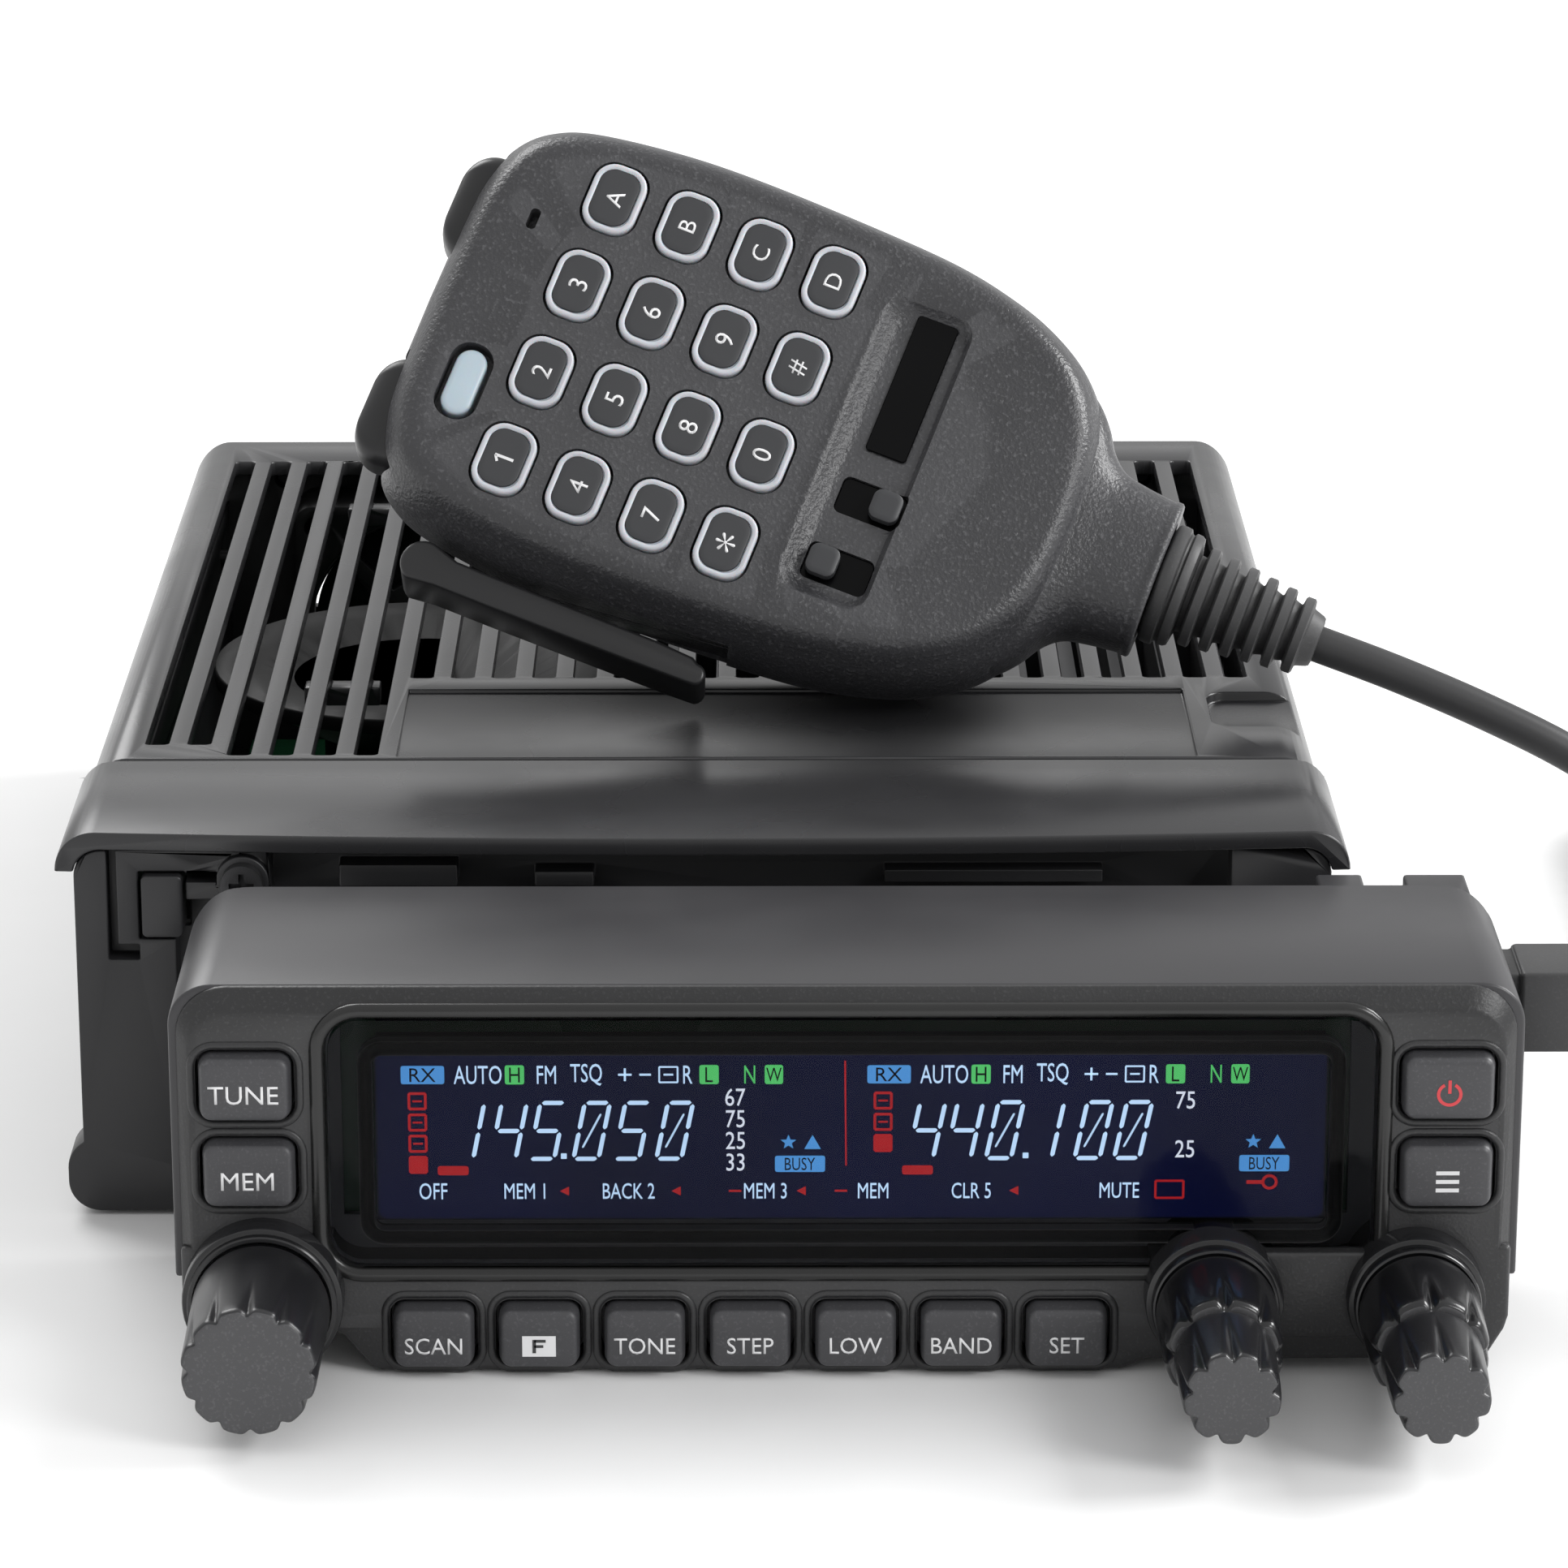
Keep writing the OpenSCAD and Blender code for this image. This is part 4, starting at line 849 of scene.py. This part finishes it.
bottom = {"MEM 1": -33.4, "BACK 2": -22.6, "MEM 3": -8.4, "MEM": 2.8, "CLR 5": 13.0, "MUTE": 28.4}
lit["pale"] += [word("OFF", -42.9, LOW, 2.6, 0.66)]
lit["pale"] += [word(text, x, LOW, 2.5, 0.66) for text, x in bottom.items()]
lit["red"] += [flat(ARROW + [x, LOW]) for x in (-29.3, -17.7, -4.7, 17.4)]
lit["red"] += [bar(-12.2, LOW, -10.9, LOW, 0.22), bar(-1.2, LOW, 0.1, LOW, 0.22)]
lit["red"] += frame_mark(33.6, LOW + 0.1, 2.9, 1.9, 0.24)
lit["red"] += [arc(44.0, LOW + 0.9, 0.7, 0.3, 0, 359, 20), bar(41.6, LOW + 0.9, 43.2, LOW + 0.9, 0.4)]
lit["red"] += [flat(np.array([[-0.1, 22.4], [0.06, 22.4], [-0.06, 34.0], [-0.24, 34.0]]))]
for ink, marks in lit.items():
    print_marks("display_" + ink, marks, panel, "lit_" + ink, "head")
print_marks("display_cuts", cut, on_face(1.965), "display", "head")
print("small marks", sum(map(len, lit.values())))

# %% The panel's frame and the window
panel_frame = rim("display_frame", [tile(DISPLAY_X, DISPLAY_Z, 100.4, 20.9, 1.8)], 0.75, -1.65, 2.3)
dress(panel_frame, "bezel_plastic", "head")
glass = stack("window_glass", face_rings(tile(DISPLAY_X, DISPLAY_Z, 108.0, 27.0, 3.3),
    [(0, 1.8), (0, 0.35), (0.06, 0.22), (0.2, 0.2)]))
dress(glass, "window_gloss", "head")
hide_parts("display_window")
print("window", glass.name)

# %% [markdown]
# ## Knobs
#
# A moulded knob is a surface of revolution with flutes. Its radius depends on the angle as well as
# on the depth: every flute takes away a smooth notch that is deepest at the front edge and fades
# out along the side, which gives the flame-shaped grooves.


# %% A fluted knob as one surface of two parameters
def knob(name, x, profile, flutes, bite, width, reach, body, node, side="knob_plastic"):
    """radius(angle, depth) = profile radius - bite x notch(angle) x fade(depth), where the notch is
    a bell of the given width in degrees and the fade falls from 1 at the front to 0 at the reach."""
    turn = np.linspace(0, 2 * pi, 288, endpoint=False)
    depth, radius, keep = np.array(profile, float).T
    gap = (np.degrees(turn) - 90 + 180 / flutes) % (360 / flutes) - 180 / flutes
    fade = np.clip(1 - (depth - depth.min()) / reach, 0, 1)
    bell = np.exp(-(gap[None] / (width * (0.35 + 0.65 * fade[:, None]))) ** 2)
    grid = radius[:, None] - bite * bell * (fade ** 0.6 * keep)[:, None]
    rings = np.stack([x + grid * np.cos(turn), np.repeat(depth[:, None], len(turn), 1),
        KNOB_Z + grid * np.sin(turn)], -1)
    piece = stack(name, on_head(rings), 38)
    dress(piece, side, body)
    piece.data.materials.append(FINISH["knob_face"])
    middle = np.empty(len(piece.data.polygons) * 3)
    normal = np.empty_like(middle)
    piece.data.polygons.foreach_get("center", middle)
    piece.data.polygons.foreach_get("normal", normal)
    facing = (normal[1::3] < -0.85) & (middle[1::3] < HEAD[1] + (depth.min() + 1.2) * MM)
    piece.data.polygons.foreach_set("material_index", facing.astype(np.int32))
    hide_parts(node)
    return piece


dial_profile = [(-4.5, 6.9, 0), (-4.6, 7.1, 0), (-5, 7.15, 0), (-9, 7.12, 1), (-13, 7.05, 1),
    (-15, 7.02, 1), (-17, 7.0, 1), (-19, 6.98, 1), (-20.2, 6.96, 1), (-20.7, 6.9, 1), (-20.92, 6.72, 1),
    (-20.99, 6.5, 1), (-21.0, 6.2, 1), (-20.98, 4.5, 0), (-20.95, 1, 0)]
knob("main_dial_knob", DIAL_X, dial_profile, 12, 0.62, 4.6, 6.2, "dial", "main_dial")
for k, (x, side) in enumerate(zip(KNOB_XS, ("left", "right"))):
    profile = [(-17.5, 3.2, 0), (-17.5, 4.9, 0), (-17.7, 5.15, 0), (-18.2, 5.2, 0), (-20.5, 5.17, 1),
        (-22.5, 5.13, 1), (-24.5, 5.1, 1), (-26.2, 5.05, 1), (-27.3, 5.0, 1), (-27.75, 4.92, 1),
        (-27.93, 4.78, 1), (-27.99, 4.6, 1), (-28.0, 4.4, 1), (-27.98, 3, 0), (-27.95, 1, 0)]
    knob(f"volume_{side}_knob", x, profile, 9, 0.8, 7.0, 6.4, f"volume_{side}", f"volume_knob_{side}")
    profile = [(12.9, 2.9, 0), (-5.4, 2.95, 0), (-5.4, 5.9, 0), (-5.6, 6.2, 0), (-6.2, 6.3, 0),
        (-8, 6.3, 1), (-10, 6.28, 1), (-12, 6.25, 1), (-14, 6.2, 1), (-15.6, 6.15, 1), (-16.5, 6.05, 1),
        (-16.9, 5.85, 1), (-17.08, 5.6, 1), (-17.1, 5.3, 1), (-17.05, 4.2, 0), (-17.0, 2, 0)]
    knob(f"squelch_{side}_ring", x, profile, 8, 0.95, 6.5, 5.0, f"squelch_{side}",
        f"squelch_ring_{side}", "ring_gloss")
print("knobs on", DIAL_X, KNOB_XS)

# %% [markdown]
# ## The microphone's body
#
# The outline of the microphone is a smooth closed curve. The body is that outline at many levels:
# each level is drawn in by an inset, and the insets follow a rounded shoulder at the front and a
# deeper belly behind. The front and the back are separate mouldings that meet at a fine seam.

# %% The outline and its levels
MIC_HALF = [[-30.5, 0], [-30.3, 12], [-29.6, 17], [-28, 21.2], [-25, 24.2], [-20, 26.2], [-10, 27.6],
    [0, 28],
    [14, 27.6], [26, 26.8], [34, 25.2], [40, 23], [45, 19.8], [48.6, 15.4], [51, 9.5], [51.8, 0]]
ring = np.array(MIC_HALF + [[x, -y] for x, y in MIC_HALF[-2:0:-1]], float)
fine = smooth_line(np.concatenate([ring, ring[:1]]), 0.8)[:-1]


def level(n, inset):
    """The outline at height n, drawn in by shrinking both ways about the middle."""
    flat_x = 10.5 + (fine[:, 0] - 10.5) * (1 - inset / 41)
    return np.stack([flat_x, fine[:, 1] * (1 - inset / 28), np.full(len(fine), n)], -1)


def profile_levels(knots, step):
    """Levels along a smooth curve through (height, inset) knots."""
    return np.array([level(n, inset) for n, inset in smooth_line(np.array(knots, float), step)])


SHOULDER = [(-11.75, 0), (-8, 0.15), (-5, 0.7), (-2.8, 1.55), (-1.3, 2.3), (-0.5, 3.0), (-0.1, 3.8),
    (0, 4.6)]
BELLY = [(-29.6, 17), (-29.0, 14.4), (-27.6, 11.4), (-24, 6.8), (-18, 2.4), (-12.4, 0.3), (-12.05, 0.45)]
front_levels = np.concatenate([profile_levels(SHOULDER, 0.35), [level(0, 5.4), level(0, 12)]])
back_levels = np.concatenate([[level(-29.6, 21)], profile_levels(BELLY, 0.8)])
shell_front = stack("mic_front", on_mic(front_levels), 40)
shell_back = stack("mic_back", on_mic(back_levels), 40)
print("outline points", len(fine))

# %% [markdown]
# The neck leaves the cord end with a hollow fillet on either side, runs almost straight and ends
# in a thin lip. Its cross-section is a rounded slot: the circle's cosine and sine are raised to a
# power a little under one, which squares it, and its height is less than its width.


# %% The neck
def squared(rings, power=0.75, count=72):
    """Rings square to the long axis. Each row is x, half width, half height and middle height; a
    point at angle t lies at width x cos(t)^power across and height x sin(t)^power up."""
    t = np.linspace(0, 2 * pi, count, endpoint=False)
    u, v = (np.sign(f(t)) * np.abs(f(t)) ** power for f in (np.cos, np.sin))
    x, across, high, mid = np.array(rings, float).T
    return np.stack([np.repeat(x[:, None], count, 1), across[:, None] * u,
        mid[:, None] + high[:, None] * v], -1)


neck_line = smooth_line(np.array([[41, 21.6, 8.7, -9.7], [44.5, 19.4, 8.5, -9.7], [47.5, 17.2, 8.1, -9.6],
    [49.6, 14.8, 7.8, -9.6],
    [51.2, 12.2, 7.5, -9.5], [53.2, 10.4, 7.3, -9.5], [56, 9.7, 7.2, -9.5], [59.9, 9.2, 7.15, -9.5]]), 0.5)
neck_rows = np.concatenate([neck_line, [[60.1, 9.35, 7.3, -9.5], [60.7, 9.35, 7.3, -9.5],
    [60.95, 9.1, 7.05, -9.5], [60.95, 7.4, 6.4, -9.5]]])
for shell, low, high in ((shell_front, -11.75, 3), (shell_back, -24, -12.05)):
    neck = stack("neck", on_mic(squared(neck_rows)), 40)
    slab = stack("slab", on_mic([[(x, y, n) for x, y in ((30, -30), (70, -30), (70, 30), (30, 30))]
        for n in (low, high)]))
    combined(neck, [slab], "INTERSECT")
    combined(shell, [neck], "UNION")
print("front faces", len(shell_front.data.polygons))

# %% Openings in the microphone
def mic_tile(a, w, width, height, radius, n0, n1):
    """A cutter in the shape of a rounded tile in the microphone's axes, from n0 to n1."""
    ring = rounded(width, height, radius) + [a, w]
    return stack("cutter", on_mic([np.column_stack([ring, np.full(len(ring), n)]) for n in (n0, n1)]))


def end_wells():
    """Cutters for the two openings that hold the end buttons."""
    return [mic_tile(-30, w, 8, 14.4, 0.5, -12.4, -4.2) for w in END_BUTTONS.values()]


def stud_screw(x, count=32):
    """A cutter for one of the two screw holes in the back."""
    turn = np.linspace(0, 2 * pi, count, endpoint=False)
    return stack("cutter", on_mic([[(x + 2.6 * cos(t), 2.6 * sin(t), n) for t in turn]
        for n in (-31, -26)]))


KEY_A, KEY_W = 9.12, 11.4
END_BUTTONS = {"up": 12.4, "down": -14.6}
SWITCH_BEDS = [(27.4, -6.1), (26.6, -14.8)]
LAMP = (-21.6, -10)
keys = [((i - 1.5) * KEY_A, (j - 1.5) * KEY_W) for i in range(4) for j in range(4)]
BAND = ((-0.7, 0.35), (0, 0), (0.5, -0.35), (1.6, -1.05), (2.2, -1.3), (2.8, -1.35))
band = [rounded(10.9 - 1.3 * d, 38 - 1.2 * d, 2.6) + [25.75 + 0.35 * d, -0.4] for d, n in BAND]
band = [np.column_stack([ring, np.full(len(ring), n)]) for ring, (d, n) in zip(band, BAND)]
holes = [mic_tile(a, w, 7, 9, 2.7, -3, 1) for a, w in keys]
holes += [stack("cutter", on_mic(band)), mic_tile(*LAMP, 5.2, 9.6, 2.4, -3, 1)]
holes += [mic_tile(a, w, 8, 4.6, 0.9, -2.3, 1) for a, w in SWITCH_BEDS]
pocket = [(-23, -31.5), (18, -31.5), (18, -25.4), (-14.6, -28.3), (-15.7, -27.2), (-23, -27.2)]
pockets = [stack("cutter", on_mic([[(a, w, n) for a, w in pocket] for n in (-15.8, -5.6)]))
    for _ in range(2)]
holes += [mic_tile(-21.6, 11.4, 1.2, 2.6, 0.5, -3, 1), pockets[0]] + end_wells()
combined(shell_front, holes, "DIFFERENCE")
combined(shell_back, [pockets[1]] + end_wells() + [stud_screw(x) for x in (-14, 30)], "DIFFERENCE")
for shell, node in ((shell_front, "mic_front_shell"), (shell_back, "mic_back_shell")):
    bevelled(shell, 0.22, 2, 50)
    dress(shell, "mic_plastic", "mic")
    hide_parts(node)
print("front", len(shell_front.data.polygons), "back", len(shell_back.data.polygons))

# %% [markdown]
# ## The microphone's keys
#
# One silicone mat carries all sixteen keys. Each key has a pale translucent rim and a dark inset
# top with its figure printed on it.

# %% Rims, tops and figures
def mic_stack(name, a, w, levels, radius, sharp=40):
    """A stack on the microphone: levels lists width along, height across and n."""
    flat_rings = [rounded(x, y, max(0.2, radius - (levels[0][0] - x) / 2)) + [a, w] for x, y, n in levels]
    rings = [np.column_stack([ring, np.full(len(ring), n)]) for ring, (x, y, n) in zip(flat_rings, levels)]
    return stack(name, on_mic(rings), sharp)


def joined(name, pieces):
    """One mesh from several solids."""
    points, faces, start = [], [], 0
    for piece in pieces:
        p = np.empty(len(piece.data.vertices) * 3)
        piece.data.vertices.foreach_get("co", p)
        points.append(p.reshape(-1, 3))
        faces += [[i + start for i in f.vertices] for f in piece.data.polygons]
        start += len(points[-1])
        bpy.data.objects.remove(piece)
    return mesh_piece(name, np.concatenate(points), faces, 40)


RIM = [(6.4, 8.4, -3.2), (6.4, 8.4, 0.1), (6.32, 8.32, 0.28), (6.12, 8.12, 0.42), (5.85, 7.85, 0.47),
    (5.35, 7.35, 0.45), (5.05, 7.05, 0.36), (4.96, 6.96, 0.2), (4.92, 6.92, 0)]
KEY_TOP = [(4.9, 6.9, -0.1), (4.9, 6.9, 0.22), (4.8, 6.8, 0.31), (4.5, 6.5, 0.36), (3.4, 5.4, 0.37)]
rims = [mic_stack("rim", a, w, RIM, 2.5) for a, w in keys]
mat = mic_stack("mat", 0, 0, [(37, 43, -4.4), (37, 43, -3.2)], 2)
mat = dress(joined("keypad_rims", rims + [mat]), "silicone", "mic")
tops = [mic_stack("top", a - 0.1, w + 0.12, KEY_TOP, 1.95) for a, w in keys]
dress(joined("keypad_tops", tops), "mic_key_top", "mic")
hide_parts("mic_keypad")


def on_mic_face(n):
    """A place function for marks on the microphone: text runs across it, upright to its top end."""
    return lambda p: on_mic(np.stack([-p[:, 1], p[:, 0], n + p[:, 2]], -1))


figures = ["1", "2", "3", "A", "4", "5", "6", "B", "7", "8", "9", "C", "*", "0", "#", "D"]
sizes = {"*": 5.4, "#": 3.0}
marks = [word(text, w, -a, sizes.get(text, 3.2 if text.isdigit() else 2.9))
    for (a, w), text in zip(keys[1:], figures[1:])]
a, w = keys[0]
marks += [bar(w + 0.1, -a - 1.1, w + 0.1, -a + 1.15, 0.34), bar(w - 0.6, -a + 0.65, w + 0.1, -a + 1.1, 0.3)]
print_marks("keypad_figures", marks, on_mic_face(0.385), "print_white", "mic")
print("keys", len(keys))

# %% Lamp, label plate and switches
lamp = dress(mic_stack("lamp", *LAMP, [(3.7, 8.2, -3.2), (3.7, 8.2, -0.6), (3.55, 8.05, -0.38),
    (3.2, 7.7, -0.26), (2.3, 6.8, -0.2)], 1.84), "lens", "mic")
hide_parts("lamp_lens")
dress(mic_stack("label_plate", 26.8, 8.6, [(5.0, 17.6, -1.7), (5.0, 17.6, -1.05), (4.8, 17.4, -0.95)], 0.5),
    "badge", "mic")
for name, (a, w) in {"lock": (29.2, -6.1), "mode": (24.8, -14.8)}.items():
    slider = mic_stack(name + "_slider", a, w, [(3.2, 3.4, -1.0), (3.6, 3.7, -0.9), (3.6, 3.7, 0.05),
        (3.5, 3.6, 0.28), (3.2, 3.3, 0.38), (2.2, 2.3, 0.4)], 0.9)
    dress(slider, "mic_key_top", name)
    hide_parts(name + "_switch")
for k, (a, w) in enumerate(SWITCH_BEDS):
    bed_plate = mic_stack(f"switch_bed_{k + 1}", a, w,
        [(7.9, 4.5, -2.4), (7.9, 4.5, -1.9), (7.7, 4.3, -1.8)], 0.8)
    dress(bed_plate, "badge", "mic")
print("switches ready")

# %% [markdown]
# ## Lever, end buttons, boot and stud
#
# The talk lever is a blade that is round at its pivot and thins towards its tip. The boot is one
# surface of revolution whose radius rises and falls over six ribs.

# %% The talk lever and the end buttons
outline = [(-18.6 + 2.7 * cos(t), -30.3 + 2.7 * sin(t)) for t in np.linspace(pi * 0.45, pi * 1.35, 14)]
outline += [(-16.4, -32.4), (-10, -32.48), (0, -32.5), (8, -32.5), (14.6, -32.45)]
outline += [(15.4 + 1.35 * cos(t), -31.15 + 1.35 * sin(t)) for t in np.linspace(-pi / 2, pi / 2, 9)[1:]]
outline += [(14.6, -29.3), (10, -29.0), (0, -28.9), (-10, -28.8), (-15.0, -28.7)]
lever = stack("lever", on_mic([[(a, w, n) for a, w in outline] for n in (-15.1, -6.3)]), 40)
bevelled(lever, 0.45, 3, 55)
dress(lever, "mic_trim", "talk")
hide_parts("talk_lever")
for name, w in END_BUTTONS.items():
    t = np.linspace(0, pi / 2, 12)
    levels = [(-25.6, 0.95), (-28.4, 1.0)] + [(-28.4 - 3.78 * sin(a), 0.42 + 0.58 * cos(a)) for a in t[1:]]
    rings = [[(a, w + x * d, -8.3 + y * (0.3 + 0.7 * d)) for x, y in rounded(13.6, 7.4, 2.2)]
        for a, d in levels]
    button = stack(name + "_end_button", on_mic(rings), 40)
    dress(button, "mic_trim", name)
    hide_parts(name + "_button")
print("lever faces", len(lever.data.polygons))

# %% The boot and the stud
def round_about(name, rows, base, axis, count=56, sharp=40):
    """A surface of revolution in the microphone's axes: rows list distance along and radius."""
    turn = np.linspace(0, 2 * pi, count, endpoint=False)
    far, radius = np.array(rows, float).T
    u, v = radius[:, None] * np.cos(turn), radius[:, None] * np.sin(turn)
    far = np.repeat(far[:, None], count, 1)
    rings = np.stack([far, u, v + base], -1) if axis == "along" else np.stack([base + u, v, far], -1)
    return stack(name, on_mic(rings), sharp)


rows = [(50, 4.8), (60.6, 5), (61.2, 6.9), (61.5, 7.15), (62.2, 7.2), (62.8, 7.1), (63.05, 6.6),
    (63.3, 6.5), (63.55, 6.85), (64.2, 6.8), (64.6, 6.55), (64.8, 5.4), (64.95, 4.7)]
for k in range(6):
    start, tall, low = 65.6 + 2.45 * k, 6 - 0.28 * k, 4.6 - 0.225 * k
    rows += [(start - 0.12, low), (start, low + 0.15), (start + 0.1, tall - 0.25), (start + 0.3, tall),
        (start + 1.2, tall), (start + 1.4, tall - 0.25), (start + 1.5, low + 0.1), (start + 1.62, low)]
rows += [(80.6, 3.1), (80.9, 2.9), (81.0, 2.3)]
boot = dress(round_about("boot", rows, -9.5, "along"), "boot_rubber", "mic")
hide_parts("mic_boot")
stud = dress(round_about("stud", [(-25.0, 1.3), (-29.7, 1.3), (-29.75, 3), (-32.5, 3), (-32.65, 5.7),
    (-32.9, 6), (-34.3, 6), (-34.6, 5.7), (-34.6, 1)], 2, "across"), "nickel", "mic")
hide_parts("hanger_stud")
print("boot faces", len(boot.data.polygons))

# %% [markdown]
# ## The fan's rotor
#
# The measured blades are flat plates. A real axial fan has swept blades that overlap when seen
# along the axis: each is a sheet whose angle round the axis grows with its depth, and it is
# thickened to a closed solid. Leading edges lean further forward as they near the rim.

# %% Swept blades round a hub
rotor_low, rotor_high = (np.array(corner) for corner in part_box("fan_rotor"))
FAN = np.array([(rotor_low[0] + rotor_high[0]) / 2, 0.0758, (rotor_low[2] + rotor_high[2]) / 2])
BLADES, ROOT, REACH = 7, 7.3 * MM, 15.75 * MM


def blade(start):
    """At fraction s of the chord and r of the span, the angle is start + 62 degrees x s - 18 x r and
    the depth runs from -2.9 to 2.9 mm with s, curved so the trailing edge flattens."""
    s, r = np.meshgrid(np.linspace(0, 1, 14), np.linspace(0, 1, 9), indexing="ij")
    radius = ROOT + r * (REACH - ROOT)
    sheets = []
    for side in (-0.35, 0.35):
        thick = side * (1 - (2 * s - 1) ** 4 * 0.7) * MM
        angle = np.radians(start + 62 * s - 18 * r)
        depth = (5.8 * s ** 0.85 - 2.9) * MM + thick
        sheets.append(np.stack([radius * np.cos(angle), depth, radius * np.sin(angle)], -1))
    low, high = sheets
    rings = np.concatenate([low, high[:, ::-1]], axis=1)
    return stack("blade", rings + FAN, 40)


hub = [(-3.2, 1), (-3.2, 6.6), (-3.0, 7.2), (-2.6, 7.55), (2.6, 7.6), (3.0, 7.4), (3.15, 6.8), (3.15, 2.6),
    (2.9, 2.2), (2.9, 1)]
t = np.linspace(0, 2 * pi, 64, endpoint=False)
hub_rings = [[FAN + np.array([r * cos(a), y, r * sin(a)]) * MM for a in t] for y, r in hub]
spindle = [[FAN + np.array([cos(a), y, sin(a)]) * MM for a in t] for y in (-5.75, -3.1)]
parts = [blade(k * 360 / BLADES) for k in range(BLADES)]
parts += [stack("hub", np.array(hub_rings)), stack("spindle", np.array(spindle))]
rotor = joined("rotor", parts)
dress(rotor, "dark_plastic", "fan")
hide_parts("fan_rotor")
print("rotor faces", len(rotor.data.polygons), "centre", FAN.round(4))

# %% The fan's duct
def hoop(name, profile):
    """A closed ring about the fan's axis: profile lists depth and radius in mm round its section."""
    far, radius = np.array(profile, float).T * MM
    turn = np.linspace(0, 2 * pi, 96, endpoint=False)
    rings = np.stack([radius[:, None] * np.cos(turn), np.repeat(far[:, None], 96, 1),
        radius[:, None] * np.sin(turn)], -1)
    return outward(mesh_piece(name, rings + FAN, quads(len(profile), 96, wrap=True).tolist()))


duct = hoop("fan_duct", [(-5.9, 16.8), (-5.9, 16.35), (-5.3, 16.1), (3.2, 16.1), (3.8, 16.35), (3.8, 16.8)])
dress(duct, "dark_plastic", "cabinet")
print("duct faces", len(duct.data.polygons))

# %% The cord's jacket
cord.data.materials.append(FINISH["cord_rubber"])
print("cord dressed")

# %% [markdown]
# ## The studio
#
# A plain pale floor, an even pale surround, two soft lights behind, which lay a sheen on the satin
# tops and the microphone's edges, and a softer one from the front right.

# %% Floor and lights
floor = mesh_piece("floor", np.array([[-3, -3, 0], [3, -3, 0], [3, 3, 0], [-3, 3, 0]]) - [0, 0, 0.0002],
    [[0, 1, 2, 3]])
floor.data.materials.append(finish("floor_paper", (0.86, 0.86, 0.86), 0.8, 1.5, 0.01, 0.01))
world = bpy.data.worlds.new("surround")
world.use_nodes = True
world.node_tree.nodes["Background"].inputs["Color"].default_value = (1, 1, 1, 1)
world.node_tree.nodes["Background"].inputs["Strength"].default_value = 0.75
bpy.context.scene.world = world


def soft_light(name, place, aim, size, power):
    """A square area light at a place, turned to an aim point, its size in metres, its power in watts."""
    light = bpy.data.objects.new(name, bpy.data.lights.new(name, "AREA"))
    light.data.size = size
    light.data.energy = power
    light.location = place
    light.rotation_euler = (Vector(aim) - Vector(place)).to_track_quat("-Z", "Y").to_euler()
    bpy.context.collection.objects.link(light)


soft_light("back_left", (-0.42, 0.55, 0.72), (-0.03, -0.05, 0.03), 0.5, 5)
soft_light("back_right", (0.72, 0.12, 0.5), (0.03, -0.05, 0.07), 0.35, 6)
soft_light("front_right", (0.8, -0.65, 0.6), (0, -0.08, 0.05), 0.4, 5)
bpy.context.scene.view_settings.view_transform = "Standard"

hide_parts("cord_lead", "curly_cord", "plug_lead")
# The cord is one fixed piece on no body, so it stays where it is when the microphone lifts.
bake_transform(cord)
